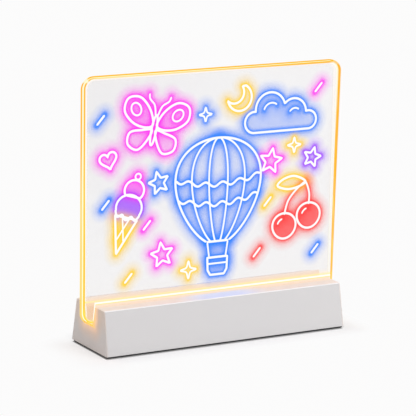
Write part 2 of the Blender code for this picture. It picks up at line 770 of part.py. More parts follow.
def build_control_board(finish):
    outline = rounded_outline(BOARD_LENGTH, BOARD_DEPTH, BOARD_CORNER_RADIUS)
    centre = (BOARD_LEFT + BOARD_LENGTH / 2, BOARD_FRONT + BOARD_DEPTH / 2, 0)
    layers = [(outline, BOARD_BOTTOM), (outline, BOARD_TOP)]
    board = stacked("control_board", layers, finish, centre, smooth=False)
    shape = bmesh.new()
    for share in BOARD_POST_SHARES:
        radius = BOARD_SCREW_RADIUS + SEAT_GAP
        add_rod(shape, on_board(share), BOARD_BOTTOM - OVERRUN, BOARD_TOP + OVERRUN, radius)
    combine(board, add_object("control_board_hole_cutter", shape), "DIFFERENCE")


def build_control_board_screws(finish):
    length = BOARD_THICKNESS + SEAT_GAP + BOARD_SCREW_BITE
    profile = screw_profile(BOARD_HEAD_RADIUS, BOARD_HEAD_HEIGHT, BOARD_SCREW_RADIUS, length)
    for i, share in enumerate(BOARD_POST_SHARES):
        place = (*on_board(share), BOARD_BOTTOM - BOARD_HEAD_HEIGHT - SOLDER_GAP)
        turned(f"control_board_screw_{i + 1}", profile, finish, place, SMALL_SEGMENTS)


def build_charging_socket(shell_finish, tongue_finish):
    """A thin drawn shell, open to the rear, with the contact tongue on its block inside."""
    back = SOCKET_MOUTH - SOCKET_LENGTH
    outer = socket_outline(0)
    inner = socket_outline(-SOCKET_WALL)
    floor = back + SOCKET_WALL
    layers = [(outer, back), (outer, SOCKET_MOUTH), (inner, SOCKET_MOUTH), (inner, floor)]
    lay_along_y(stacked("charging_socket_shell", layers, shell_finish), SOCKET_X, SOCKET_Z)
    block = socket_outline(-SOCKET_WALL - SEAT_GAP)
    steps = SMALL_SEGMENTS // 2
    tongue = rounded_outline(TONGUE_WIDTH, TONGUE_HEIGHT, TONGUE_HEIGHT / 2 - FLAT_LEAST, steps)
    start = floor + SEAT_GAP
    tip = SOCKET_MOUTH - TONGUE_SETBACK
    layers = [(block, start), (block, start + TONGUE_BLOCK), (tongue, start + TONGUE_BLOCK), (tongue, tip)]
    lay_along_y(stacked("charging_socket_tongue", layers, tongue_finish), SOCKET_X, SOCKET_Z)


def build_button(finish):
    """The button cap: a round front, a flange that stops on the collar, and a stem to the switch."""
    front = outer_rear(BUTTON_Z) + BUTTON_PROUD
    flange_front = BUTTON_FLANGE_REAR - BUTTON_FLANGE_THICKNESS
    profile = [
        (0, BUTTON_STEM_END),
        (BUTTON_STEM_RADIUS, BUTTON_STEM_END),
        (BUTTON_STEM_RADIUS, flange_front),
        (BUTTON_RADIUS + BUTTON_FLANGE, flange_front),
        (BUTTON_RADIUS + BUTTON_FLANGE, BUTTON_FLANGE_REAR),
        (BUTTON_RADIUS, BUTTON_FLANGE_REAR),
    ]
    for step in range(CORNER_STEPS + 1):
        turn = math.pi / 2 * step / CORNER_STEPS
        radius = BUTTON_RADIUS - BUTTON_EDGE * (1 - math.cos(turn))
        profile.append((radius, front - BUTTON_EDGE * (1 - math.sin(turn))))
    profile.append((0, front))
    lay_along_y(turned("power_button", profile, finish), BUTTON_X, BUTTON_Z)


def build_switch(body_finish, plunger_finish):
    """The switch body with the bore that its plunger sinks into, and the plunger."""
    front = SWITCH_REAR - SWITCH_DEPTH
    outline = rounded_outline(SWITCH_WIDTH, SWITCH_DEPTH, SMALL_CORNER_RADIUS)
    low = BOARD_TOP + SOLDER_GAP
    centre = (BUTTON_X, (front + SWITCH_REAR) / 2, 0)
    layers = [(outline, low), (outline, low + SWITCH_HEIGHT)]
    body = stacked("switch_body", layers, body_finish, centre, smooth=False)
    shape = bmesh.new()
    bore = SWITCH_REAR - PLUNGER_ENGAGED - BUTTON_TRAVEL - SEAT_GAP
    add_rod(shape, (0, 0), bore, SWITCH_REAR + OVERRUN, PLUNGER_RADIUS + SEAT_GAP)
    cutter = lay_along_y(add_object("switch_bore_cutter", shape), BUTTON_X, BUTTON_Z)
    combine(body, cutter, "DIFFERENCE")
    start = SWITCH_REAR - PLUNGER_ENGAGED
    profile = [
        (0, start),
        (PLUNGER_RADIUS, start),
        (PLUNGER_RADIUS, PLUNGER_TIP - SCREW_CHAMFER),
        (PLUNGER_RADIUS - SCREW_CHAMFER, PLUNGER_TIP),
        (0, PLUNGER_TIP),
    ]
    plunger = turned("switch_plunger", profile, plunger_finish, segments=SMALL_SEGMENTS)
    lay_along_y(plunger, BUTTON_X, BUTTON_Z)


def build_chip(name, share, finish):
    """A small moulded chip with four bent legs on each long side."""
    x, y = on_board(share)
    z = BOARD_TOP + SOLDER_GAP
    foot = rounded_outline(CHIP_LENGTH, CHIP_WIDTH, CHIP_SLOPE, 1)
    top = rounded_outline(CHIP_LENGTH - CHIP_SLOPE, CHIP_WIDTH - CHIP_SLOPE, CHIP_SLOPE, 1)
    layers = [(foot, CHIP_LEG_THICKNESS), (foot, CHIP_LEG_HEIGHT), (top, CHIP_HEIGHT)]
    chip = stacked(name, layers, finish, (x, y, z), smooth=False)
    shape = bmesh.new()
    for i in range(CHIP_LEGS_PER_SIDE):
        along = (i - (CHIP_LEGS_PER_SIDE - 1) / 2) * CHIP_LEG_PITCH
        for side in (-1, 1):
            profile = leg_profile(side)
            add_bar(shape, profile, along - CHIP_LEG_WIDTH / 2, along + CHIP_LEG_WIDTH / 2)
    legs = add_object(name + "_legs", shape, None, (x, y, z))
    combine(chip, legs, "UNION")


def leg_profile(side):
    """The bent leg's outline in (y, z): out of the body, down, and out along the board."""
    root = CHIP_WIDTH / 2 - CHIP_SLOPE
    knee = CHIP_WIDTH / 2 + CHIP_LEG_REACH / 2
    toe = CHIP_WIDTH / 2 + CHIP_LEG_REACH
    thick = CHIP_LEG_THICKNESS
    high = CHIP_LEG_HEIGHT
    points = [
        (root, high - thick),
        (knee - thick, high - thick),
        (knee - thick, 0),
        (toe, 0),
        (toe, thick),
        (knee, thick),
        (knee, high),
        (root, high),
    ]
    return [(side * y, z) for y, z in points]


def build_coil(finish):
    """A shielded coil: a square block with cut corners and the round core just above it."""
    x, y = on_board(COIL_SHARE)
    outline = rounded_outline(COIL_SIZE, COIL_SIZE, COIL_CORNER_RADIUS, 1)
    layers = [(outline, 0), (outline, COIL_HEIGHT)]
    place = (x, y, BOARD_TOP + SOLDER_GAP)
    coil = stacked("boost_coil", layers, finish, place, smooth=False)
    top = COIL_HEIGHT + COIL_CORE_PROUD
    profile = [(0, COIL_HEIGHT / 2), (COIL_CORE_RADIUS, COIL_HEIGHT / 2), (COIL_CORE_RADIUS, top), (0, top)]
    core = turned("boost_coil_core", profile, None, place, SMALL_SEGMENTS)
    combine(coil, core, "UNION")


def build_capacitors(finish):
    """Two upright cans, each on a wider foot, with the crimped groove near the foot."""
    groove = CAN_FOOT_HEIGHT + CAN_GROOVE
    narrow = CAN_RADIUS - CAN_GROOVE
    profile = [
        (0, 0),
        (CAN_FOOT_RADIUS, 0),
        (CAN_FOOT_RADIUS, CAN_FOOT_HEIGHT),
        (CAN_RADIUS, CAN_FOOT_HEIGHT),
        (CAN_RADIUS, groove),
        (narrow, groove + CAN_GROOVE),
        (CAN_RADIUS, groove + 2 * CAN_GROOVE),
        (CAN_RADIUS, CAN_HEIGHT - CAN_GROOVE),
        (narrow, CAN_HEIGHT),
        (0, CAN_HEIGHT),
    ]
    for i, share in enumerate(CAPACITOR_SHARES):
        place = (*on_board(share), BOARD_TOP + SOLDER_GAP)
        turned(f"capacitor_{i + 1}", profile, finish, place, SMALL_SEGMENTS)


def soft_layers(length, width, thickness):
    """Layers of the pouch cell, whose upper and lower edges are round."""
    layers = []
    for side in (-1, 1):
        turns = [math.pi / 2 * step / CORNER_STEPS for step in range(CORNER_STEPS + 1)]
        if side < 0:
            turns.reverse()
        for turn in turns:
            inset = CELL_EDGE_RADIUS * (1 - math.cos(turn))
            rise = thickness / 2 - CELL_EDGE_RADIUS * (1 - math.sin(turn))
            outline = rounded_outline(length - 2 * inset, width - 2 * inset, CELL_CORNER_RADIUS - inset)
            layers.append((outline, side * rise))
    return layers


def build_cell(cell_finish, tape_finish):
    """The flat pouch cell with soft edges, and the foam tape that holds it to the cover."""
    middle = (CELL_LEFT + CELL_RIGHT) / 2
    layers = soft_layers(CELL_LENGTH, CELL_WIDTH, CELL_THICKNESS)
    stacked("battery_cell", layers, cell_finish, (middle, 0, CELL_BOTTOM + CELL_THICKNESS / 2))
    outline = rounded_outline(CELL_LENGTH - 2 * TAPE_INSET, CELL_WIDTH - 2 * TAPE_INSET, INNER_CORNER_RADIUS)
    layers = [(outline, 0), (outline, TAPE_THICKNESS)]
    stacked("battery_tape", layers, tape_finish, (middle, 0, COVER_TOP + SEAT_GAP))


def plug_frame(share):
    """Where a plug meets its socket: the socket's left face, its middle in Y, and the axis height."""
    x, y = on_board(share)
    return x - HEADER_LENGTH / 2, y, BOARD_TOP + SOLDER_GAP + HEADER_HEIGHT / 2


def add_header_bar(shape, width, height, low_x, high_x):
    """A square bar along X about the origin."""
    half, rise = width / 2, height / 2
    add_bar(shape, [(-half, -rise), (half, -rise), (half, rise), (-half, rise)], low_x, high_x)


def build_header_pair(names, share, socket_finish, plug_finish):
    """A board socket open to the left, and the keyed plug that sits in it."""
    place = plug_frame(share)
    shape = bmesh.new()
    add_header_bar(shape, HEADER_WIDTH, HEADER_HEIGHT, 0, HEADER_LENGTH)
    socket = add_object(names[0], shape, socket_finish, place, smooth=False)
    inner_width = HEADER_WIDTH - 2 * HEADER_WALL
    inner_height = HEADER_HEIGHT - 2 * HEADER_WALL
    shape = bmesh.new()
    add_header_bar(shape, inner_width, inner_height, -OVERRUN, HEADER_DEPTH)
    combine(socket, add_object(names[0] + "_cutter", shape, None, place), "DIFFERENCE")
    shape = bmesh.new()
    plug_width = inner_width - 2 * SEAT_GAP
    plug_height = inner_height - 2 * SEAT_GAP
    add_header_bar(shape, plug_width, plug_height, -PLUG_PROUD, HEADER_DEPTH - SEAT_GAP)
    plug = add_object(names[1], shape, plug_finish, place, smooth=False)
    shape = bmesh.new()
    top = plug_height / 2 + PLUG_KEY_HEIGHT
    low = (-PLUG_PROUD, -PLUG_KEY_WIDTH / 2, 0)
    add_block(shape, low, (-SEAT_GAP, PLUG_KEY_WIDTH / 2, top))
    combine(plug, add_object(names[1] + "_key", shape, None, place), "UNION")


def curved_route(start, start_way, end, end_way):
    """A smooth route that leaves start and reaches end along the given ways, as cubic curve points."""
    start, end = Vector(start), Vector(end)
    reach = (end - start).length * LEAD_TURN_SHARE
    knots = (start, start + Vector(start_way) * reach, end - Vector(end_way) * reach, end)
    points = []
    for i in range(LEAD_POINTS):
        t = i / (LEAD_POINTS - 1)
        weights = ((1 - t) ** 3, 3 * t * (1 - t) ** 2, 3 * t**2 * (1 - t), t**3)
        points.append(sum((knot * weight for knot, weight in zip(knots, weights)), Vector()))
    return points


def build_lead(name, points, finish):
    curve = bpy.data.curves.new(name, "CURVE")
    curve.dimensions = "3D"
    curve.bevel_depth = LEAD_RADIUS
    curve.bevel_resolution = 2
    curve.use_fill_caps = True
    spline = curve.splines.new("POLY")
    spline.points.add(len(points) - 1)
    for knot, point in zip(spline.points, points):
        knot.co = (*point, 1.0)
    curve.materials.append(finish)
    made = bpy.data.objects.new(name, curve)
    bpy.context.scene.collection.objects.link(made)


def build_leads(finishes):
    """Two pairs of leads: from the cell to its plug, and from the led board to its plug."""
    along = (1, 0, 0)
    for (colour, finish), side in zip(finishes.items(), (-1, 1)):
        shift = side * LEAD_SPACING / 2
        x, y, z = plug_frame(BATTERY_HEADER_SHARE)
        end = (x - PLUG_PROUD - SEAT_GAP, y + shift, z)
        start = (CELL_RIGHT + SEAT_GAP, y - CELL_LEAD_OFFSET + shift, CELL_BOTTOM + CELL_THICKNESS / 2)
        build_lead(f"battery_lead_{colour}", curved_route(start, along, end, along), finish)
        x, y, z = plug_frame(LED_HEADER_SHARE)
        end = (x - PLUG_PROUD - SEAT_GAP, y + shift, z)
        start = (x - LED_LEAD_SETBACK, shift, LED_BOARD_BOTTOM - SEAT_GAP)
        down = (0, 0, -1)
        build_lead(f"led_lead_{colour}", curved_route(start, down, end, along), finish)


def build_panel(finish):
    """The acrylic sheet: round corners and a polished chamfer round both faces."""
    half = PANEL_THICKNESS / 2
    full = panel_outline(0)
    face = panel_outline(PANEL_CHAMFER)
    layers = [(face, -half), (full, PANEL_CHAMFER - half), (full, half - PANEL_CHAMFER), (face, half)]
    panel = stacked("acrylic_panel", layers, finish)
    panel.rotation_euler = (math.pi / 2, 0, 0)
    panel.location = (0, 0, PANEL_BOTTOM)


def panel_outline(inset):
    """The sheet's outline, standing on the X axis, drawn in by an inset."""
    width = PANEL_WIDTH - 2 * inset
    height = PANEL_HEIGHT - 2 * inset
    points = rounded_outline(width, height, PANEL_CORNER_RADIUS - inset, PANEL_CORNER_STEPS)
    return [(x, y + PANEL_HEIGHT / 2) for x, y in points]


def main():
    clear_scene()
    shell = finish_material("shell_white", (0.82, 0.81, 0.80), 0.55)
    dark = finish_material("cover_dark", (0.045, 0.045, 0.048), 0.6)
    rubber = finish_material("foot_rubber", (0.03, 0.03, 0.03), 0.85)
    clear = finish_material("clear_acrylic", (0.94, 0.95, 0.96), 0.05, alpha=0.3)
    silicone = finish_material("clear_silicone", (1.0, 0.93, 0.75), 0.25, alpha=0.6)
    steel = finish_material("screw_steel", (0.62, 0.62, 0.64), 0.3, 1.0)
    white_board = finish_material("led_board_white", (0.88, 0.88, 0.85), 0.4)
    green_board = finish_material("control_board_green", (0.03, 0.22, 0.10), 0.4)
    led = finish_material("led_warm", (0.98, 0.82, 0.35), 0.3)
    black = finish_material("chip_black", (0.02, 0.02, 0.02), 0.5)
    can = finish_material("can_aluminium", (0.75, 0.75, 0.77), 0.3, 1.0)
    foil = finish_material("cell_foil", (0.68, 0.69, 0.72), 0.35, 0.6)
    foam = finish_material("tape_foam", (0.12, 0.12, 0.12), 0.9)
    nylon = finish_material("header_white", (0.86, 0.84, 0.78), 0.45)
    red = finish_material("lead_red", (0.65, 0.03, 0.03), 0.45)
    build_housing(shell)
    build_liner(silicone)
    build_cover(dark)
    build_feet(rubber)
    build_cover_screws(steel)
    build_led_board(white_board)
    build_leds(led)
    build_led_resistors(black)
    build_led_board_screws(steel)
    build_control_board(green_board)
    build_control_board_screws(steel)
    build_charging_socket(steel, black)
    build_button(dark)
    build_switch(black, steel)
    build_chip("charger_chip", CHARGER_CHIP_SHARE, black)
    build_chip("driver_chip", DRIVER_CHIP_SHARE, black)
    build_coil(black)
    build_capacitors(can)
    build_cell(foil, foam)
    build_header_pair(("battery_socket", "battery_plug"), BATTERY_HEADER_SHARE, nylon, nylon)
    build_header_pair(("led_socket", "led_plug"), LED_HEADER_SHARE, nylon, nylon)
    build_leads({"red": red, "black": black})
    build_panel(clear)


main()
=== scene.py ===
"""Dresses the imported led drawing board: every finish, the marker drawing and the glow."""

import math

import bpy
import numpy as np
from mathutils import Matrix, Vector


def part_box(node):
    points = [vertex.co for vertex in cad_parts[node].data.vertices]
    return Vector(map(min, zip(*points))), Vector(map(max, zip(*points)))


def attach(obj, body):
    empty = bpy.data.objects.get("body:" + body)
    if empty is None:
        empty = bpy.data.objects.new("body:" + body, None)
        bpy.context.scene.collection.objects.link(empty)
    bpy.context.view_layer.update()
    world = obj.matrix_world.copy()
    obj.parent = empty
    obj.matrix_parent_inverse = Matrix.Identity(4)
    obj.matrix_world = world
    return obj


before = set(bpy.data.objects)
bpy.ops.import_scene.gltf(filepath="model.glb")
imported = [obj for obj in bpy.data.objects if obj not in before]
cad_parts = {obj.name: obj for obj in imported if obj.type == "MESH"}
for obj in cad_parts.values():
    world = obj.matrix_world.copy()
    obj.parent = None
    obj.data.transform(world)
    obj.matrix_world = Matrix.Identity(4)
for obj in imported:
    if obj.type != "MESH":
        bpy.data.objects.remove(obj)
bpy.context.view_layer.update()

# The view
# A long lens from the left of the drawing side, a little above the sheet's middle, turned by
# just under a degree.
AZIMUTH = -29.342
ELEVATION = 12.306
ROLL = 0.907
DISTANCE = 1.7073
AIM = (-0.00286, 0.0, 0.09121)
LENS = 211.96
SENSOR = 36.0

azimuth, elevation = math.radians(AZIMUTH), math.radians(ELEVATION)
back = Vector(
    (
        math.sin(azimuth) * math.cos(elevation),
        -math.cos(azimuth) * math.cos(elevation),
        math.sin(elevation),
    )
)
view = bpy.data.objects.new("view", bpy.data.cameras.new("view"))
bpy.context.scene.collection.objects.link(view)
view.data.sensor_width = SENSOR
view.data.lens = LENS
turn = back.to_track_quat("Z", "Y").to_matrix() @ Matrix.Rotation(math.radians(ROLL), 3, "Z")
view.matrix_world = Matrix.Translation(Vector(AIM) + back * DISTANCE) @ turn.to_4x4()
bpy.context.scene.camera = view
bpy.context.scene.view_settings.view_transform = "Standard"

# The light
# A wide soft box in front to the right, one overhead and a weak one behind, so that the drawing
# side is lit evenly and the left end falls into half shade.
SOFT_BOXES = {
    "front_box": ((0.95, -1.35, 0.75), 1.1, 12.4),
    "top_box": ((0.1, -0.1, 1.6), 1.3, 11.0),
    "rear_box": ((-0.6, 1.5, 0.8), 1.0, 5.0),
}

for name, (place, size, power) in SOFT_BOXES.items():
    box = bpy.data.objects.new(name, bpy.data.lights.new(name, "AREA"))
    bpy.context.scene.collection.objects.link(box)
    box.data.shape = "SQUARE"
    box.data.size = size
    box.data.energy = power
    box.location = place
    box.rotation_euler = (Vector(place) - Vector(AIM)).to_track_quat("Z", "Y").to_euler()

# Room and paper sweep
# The room is pale all round.  The sweep under the object is matt white paper, which melts into the
# background away from the object and keeps its soft shadow close by.


class Field:
    """A number that changes over a surface.  Each operator adds a Math node to its finish."""

    def __init__(self, finish, socket):
        self.finish = finish
        self.socket = socket

    def __add__(self, other):
        return self.finish.math("ADD", self, other)

    def __radd__(self, other):
        return self.finish.math("ADD", other, self)

    def __sub__(self, other):
        return self.finish.math("SUBTRACT", self, other)

    def __rsub__(self, other):
        return self.finish.math("SUBTRACT", other, self)

    def __mul__(self, other):
        return self.finish.math("MULTIPLY", self, other)

    def __rmul__(self, other):
        return self.finish.math("MULTIPLY", other, self)

    def __truediv__(self, other):
        return self.finish.math("DIVIDE", self, other)

    def __abs__(self):
        return self.finish.math("ABSOLUTE", self)


class Finish:
    """A material under construction: its Principled shader and the nodes that feed it."""

    def __init__(self, name, constants=None, tree=None):
        if tree is None:
            self.material = bpy.data.materials.new(name)
            self.material.use_nodes = True
            tree = self.material.node_tree
        self.tree = tree
        self.shader = tree.nodes.get("Principled BSDF")
        self.coordinates = None
        for socket, value in (constants or {}).items():
            self.shader.inputs[socket].default_value = value

    def node(self, kind, settings=None, values=None):
        """Any node: its settings first, then numbers, colours or links for its sockets."""
        made = self.tree.nodes.new(kind)
        for setting, value in (settings or {}).items():
            setattr(made, setting, value)
        for socket, value in (values or {}).items():
            self.feed(made.inputs[socket], value)
        return made

    def feed(self, socket, value):
        """Links a field or another node's output, or sets a plain value."""
        if isinstance(value, Field):
            value = value.socket
        if isinstance(value, bpy.types.NodeSocket):
            self.tree.links.new(value, socket)
        else:
            socket.default_value = value

    def set(self, name, value):
        self.feed(self.shader.inputs[name], value)

    def math(self, operation, *values):
        made = self.node("ShaderNodeMath", {"operation": operation}, dict(enumerate(values)))
        return Field(self, made.outputs[0])

    def step(self, value, low, high):
        """Rises smoothly from 0 at low to 1 at high."""
        values = {0: value, 1: low, 2: high}
        made = self.node("ShaderNodeMapRange", {"interpolation_type": "SMOOTHSTEP"}, values)
        return Field(self, made.outputs[0])

    def mix(self, share, first, second):
        """The first colour where share is 0, the second where it is 1."""
        made = self.node("ShaderNodeMix", {"data_type": "RGBA"}, {0: share, 6: first, 7: second})
        return made.outputs[2]

    def object_space(self):
        if self.coordinates is None:
            self.coordinates = self.node("ShaderNodeTexCoord").outputs["Object"]
        return self.coordinates

    def along(self, stretch=(1, 1, 1)):
        """Object coordinates, stretched along each axis."""
        values = {"Vector": self.object_space(), "Scale": stretch}
        return self.node("ShaderNodeMapping", None, values).outputs[0]

    def place(self):
        """X, Y and Z on the object, as three fields in metres."""
        made = self.node("ShaderNodeSeparateXYZ", None, {0: self.object_space()})
        return [Field(self, out) for out in made.outputs]

    def noise(self, scale, detail, stretch=(1, 1, 1)):
        """Soft spots between 0 and 1, about scale of them to the metre, with finer ones inside."""
        values = {"Vector": self.along(stretch), "Scale": scale, "Detail": detail}
        return Field(self, self.node("ShaderNodeTexNoise", None, values).outputs[0])

    def cells(self, scale):
        """The distance to the nearest of scattered points, about scale of them to the metre."""
        values = {"Vector": self.along(), "Scale": scale}
        return Field(self, self.node("ShaderNodeTexVoronoi", None, values).outputs[0])

    def relief(self, height, strength, distance):
        """A bump from a height field, set on the shader's normal."""
        values = {"Strength": strength, "Distance": distance, "Height": height}
        self.set("Normal", self.node("ShaderNodeBump", None, values).outputs[0])

    def looked_at(self):
        """1 for a ray that looks, be it straight, in a reflection or through a clear piece."""
        ray = self.node("ShaderNodeLightPath").outputs
        seen = self.math("MAXIMUM", ray["Is Camera Ray"], ray["Is Glossy Ray"])
        return self.math("MAXIMUM", seen, ray["Is Transmission Ray"])

    def stored(self, name):
        """The readings of what store() keeps under this name."""
        return self.node("ShaderNodeAttribute", {"attribute_name": name}).outputs


def new_piece(name, points, faces):
    """A mesh of these points and faces, on an object at the origin."""
    mesh = bpy.data.meshes.new(name)
    mesh.from_pydata(points, [], faces)
    piece = bpy.data.objects.new(name, mesh)
    bpy.context.scene.collection.objects.link(piece)
    return piece


def store(piece, name, values):
    """Keeps a number, or a colour with its share of alpha, for every point of a piece."""
    kind, field = ("FLOAT", "value") if values.ndim == 1 else ("FLOAT_COLOR", "color")
    piece.data.attributes.new(name, kind, "POINT").data.foreach_set(field, values.ravel())


ROOM_LIGHT = 0.44
ROOM_TINT = (1.0, 0.997, 0.997, 1.0)
PAPER_WHITE = 0.972

world = bpy.data.worlds.new("room")
world.use_nodes = True
bpy.context.scene.world = world
room = Finish("room", tree=world.node_tree)
level = ROOM_LIGHT + (PAPER_WHITE - ROOM_LIGHT) * room.looked_at()
lit = room.node("ShaderNodeBackground", None, {"Color": ROOM_TINT, "Strength": level})
room.feed(world.node_tree.nodes["World Output"].inputs["Surface"], lit.outputs[0])

# Shadows, in metres: a soft one that fades out round the foot, a wide one past the left end with a
# painted warm tint, and a thin dark one where the foot meets the paper, painted into the paper's
# colour and thinnest past the right and far sides.
SWEEP = 3.0
PAPER_GREY, PAPER_PALE = (0.90, 0.895, 0.895, 1), (0.93, 0.925, 0.925, 1)
PAPER_WARM_SPILL, PAPER_CONTACT_SHADE = (0.93, 0.84, 0.83, 1), (0.10, 0.10, 0.10, 1)
SHADOW_SHARE, SHADOW_FADE = 0.85, (0.001, 0.022)
CONTACT_SHARE, CONTACT_FADE = 0.95, (0.0004, 0.0032)
CONTACT_LEFT, CONTACT_FAR, CONTACT_SHORT = 2.6, 4.0, 0.0025
CONTACT_SHADE_SHARE = 0.75
LEFT_SHARE, LEFT_REACH = 0.40, 0.032
LEFT_SHIFT, LEFT_HALF = 0.008, 0.020
LEFT_START, LEFT_END = 0.012, 0.002
LEFT_SPILL_SHARE = 0.8

base_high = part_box("base_housing")[1]
corners = [(-SWEEP, -SWEEP, 0), (SWEEP, -SWEEP, 0), (SWEEP, SWEEP, 0), (-SWEEP, SWEEP, 0)]
sweep = new_piece("paper_sweep", corners, [(0, 1, 2, 3)])

paper = Finish("white_paper", {"Roughness": 0.9, "Specular IOR Level": 0.1})
x, y, _ = paper.place()
tone = paper.mix(paper.noise(900, 3), PAPER_GREY, PAPER_PALE)
past_x = paper.math("MAXIMUM", abs(x) - base_high.x, 0)
past_y = paper.math("MAXIMUM", abs(y) - base_high.y, 0)
apart = paper.math("SQRT", past_x * past_x + past_y * past_y)
shadow = SHADOW_SHARE * (1 - paper.step(apart, *SHADOW_FADE))

past_left = paper.math("MAXIMUM", 0 - x - base_high.x, 0)
past_side = paper.math("MAXIMUM", abs(y + LEFT_SHIFT) - LEFT_HALF, 0)
apart = paper.math("SQRT", past_left * past_left + past_side * past_side)
near_left = 1 - paper.step(apart, 0, LEFT_REACH)
left = paper.step(0 - x, base_high.x - LEFT_START, base_high.x + LEFT_END)
shadow = shadow + left * (LEFT_SHARE * near_left - shadow)
# Painted warm light from the slot over the shadow past the left end
tone = paper.mix(left * near_left * LEFT_SPILL_SHARE, tone, PAPER_WARM_SPILL)

far_x, far_y = x - base_high.x + CONTACT_SHORT, y - base_high.y + CONTACT_SHORT
past_far = paper.math("MAXIMUM", far_x, far_y)
past_end = paper.math("MAXIMUM", CONTACT_LEFT * past_left, CONTACT_FAR * past_far)
past_front = paper.math("MAXIMUM", 0 - y - base_high.y, 0)
apart = paper.math("SQRT", past_end * past_end + past_front * past_front)
contact = 1 - paper.step(apart, *CONTACT_FADE)
shadow = paper.math("MAXIMUM", shadow, CONTACT_SHARE * contact)
# A painted contact shadow: the paper's own colour turns dark close to the foot
paper.set("Base Color", paper.mix(contact * CONTACT_SHADE_SHARE, tone, PAPER_CONTACT_SHADE))

white = [PAPER_WHITE * tint for tint in ROOM_TINT[:3]] + [1]
glow = paper.node("ShaderNodeEmission", None, {"Color": white})
share = (1 - shadow) * paper.looked_at()
shaders = {0: share, 1: paper.shader.outputs[0], 2: glow.outputs[0]}
blend = paper.node("ShaderNodeMixShader", None, shaders)
paper.feed(paper.tree.nodes["Material Output"].inputs["Surface"], blend.outputs[0])
sweep.data.materials.append(paper.material)

# Base housing
# Injection-moulded white plastic with a fine spark-eroded skin.  Its light and shade are painted:
# the lit slot warms the lips along it and the ends round its open mouths, with a glow, the blue
# drawing tints the middle of the lips, the ends lie in half shade and the top's long edges have a
# highlight.
MM = 0.001
SHELL_WHITE = (0.662, 0.649, 0.650, 1)
SHELL_SHADE = (0.765, 0.650, 0.580, 1)
SHELL_LOW_SHADE = (0.690, 0.642, 0.618, 1)
SHELL_SLOT_GLOW = (0.86, 0.645, 0.52, 1)
SHELL_RIM_GLOW = (0.85, 0.57, 0.33, 1)
SHELL_LIT_WARM = (0.885, 0.765, 0.685, 1)
SHELL_LIT_GOLD = (0.96, 0.755, 0.60, 1)
SHELL_BLUE_SPILL = (0.735, 0.795, 1.0, 1)
SHELL_MOTTLE = (0.670, 0.656, 0.656, 1)
SHELL_ARRIS_HIGHLIGHT = (0.93, 0.91, 0.90, 1)
SHADE_RISE = 13 * MM, 26 * MM
SLOT_GLOW_FADE, RIM_FADE = (1 * MM, 13 * MM), (0.2 * MM, 1.3 * MM)
BLUE_SPILL_SHARE, BLUE_SPILL_MIDDLE, BLUE_SPILL_FADE = 0.9, 1 * MM, (12 * MM, 40 * MM)
LIP_HALF, LIP_FADE = 21.25 * MM, 5 * MM
UNLIT = (0, 0, 0, 1)


def linear(hex_colour):
    """A screen colour such as #FFB800 as linear light, with full alpha."""
    screen = [int(hex_colour[i : i + 2], 16) / 255 for i in (1, 3, 5)]
    light = [((c + 0.055) / 1.055) ** 2.4 if c > 0.04045 else c / 12.92 for c in screen]
    return (*light, 1.0)


def wear(nodes, finish):
    """Puts a finish on CAD nodes that keep their own shape."""
    for name in nodes:
        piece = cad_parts[name]
        piece.data.materials.clear()
        piece.data.materials.append(finish.material)


AMBER = linear("#FFB860")
RIM_GOLD = linear("#FFC926")

liner_low, liner_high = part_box("slot_liner")
top_height = base_high.z
slot_floor = liner_low.z
slot_half = liner_high.y

shell = Finish("moulded_white", {"Specular IOR Level": 0.4, "Emission Strength": 1.0})
x, y, z = shell.place()
side = abs(y)
# How far a point of an end face lies from the slot's outline: the root of the squares of how far
# it is past the slot's side and how far it is under the slot's floor
away = shell.math("MAXIMUM", side - slot_half, 0)
under = shell.math("MAXIMUM", slot_floor - z, 0)
distance = shell.math("SQRT", away * away + under * under)
on_top = shell.step(z, top_height - 0.5 * MM, top_height - 0.1 * MM)
on_end = shell.step(abs(x), base_high.x - 2.0 * MM, base_high.x - 0.9 * MM)
tone = shell.mix(shell.noise(60, 3), SHELL_WHITE, SHELL_MOTTLE)
# Painted shade on the ends: darker and greyer low down, warmer high up from the slot's light
shade = shell.mix(shell.step(z, *SHADE_RISE), SHELL_LOW_SHADE, SHELL_SHADE)
# Painted warm light round the slot's mouths on the ends, a deeper orange at their rims
shade = shell.mix(1 - shell.step(distance, *SLOT_GLOW_FADE), shade, SHELL_SLOT_GLOW)
rim = on_end * (1 - shell.step(distance, *RIM_FADE))
shade = shell.mix(rim, shade, SHELL_RIM_GLOW)
tone = shell.mix(on_end, tone, shade)
# Painted light on the top's lips: lighter and warm, and gold close to the slot
lip_light = shell.mix(shell.step(away, 0, LIP_FADE), SHELL_LIT_GOLD, SHELL_LIT_WARM)
# Painted blue light from the drawing over the middle of the lips
middle = 1 - shell.step(abs(x - BLUE_SPILL_MIDDLE), *BLUE_SPILL_FADE)
middle = middle * shell.step(away, -2 * MM, 1.5 * MM)
lip_light = shell.mix(BLUE_SPILL_SHARE * middle, lip_light, SHELL_BLUE_SPILL)
tone = shell.mix(on_top, tone, lip_light)
# A painted highlight along the top's long edges
arris_highlight = shell.step(z, top_height - 0.7 * MM, top_height - 0.4 * MM)
arris_highlight = arris_highlight * shell.step(side, LIP_HALF - 0.7 * MM, LIP_HALF - 0.3 * MM)
shell.set("Base Color", shell.mix(arris_highlight, tone, SHELL_ARRIS_HIGHLIGHT))
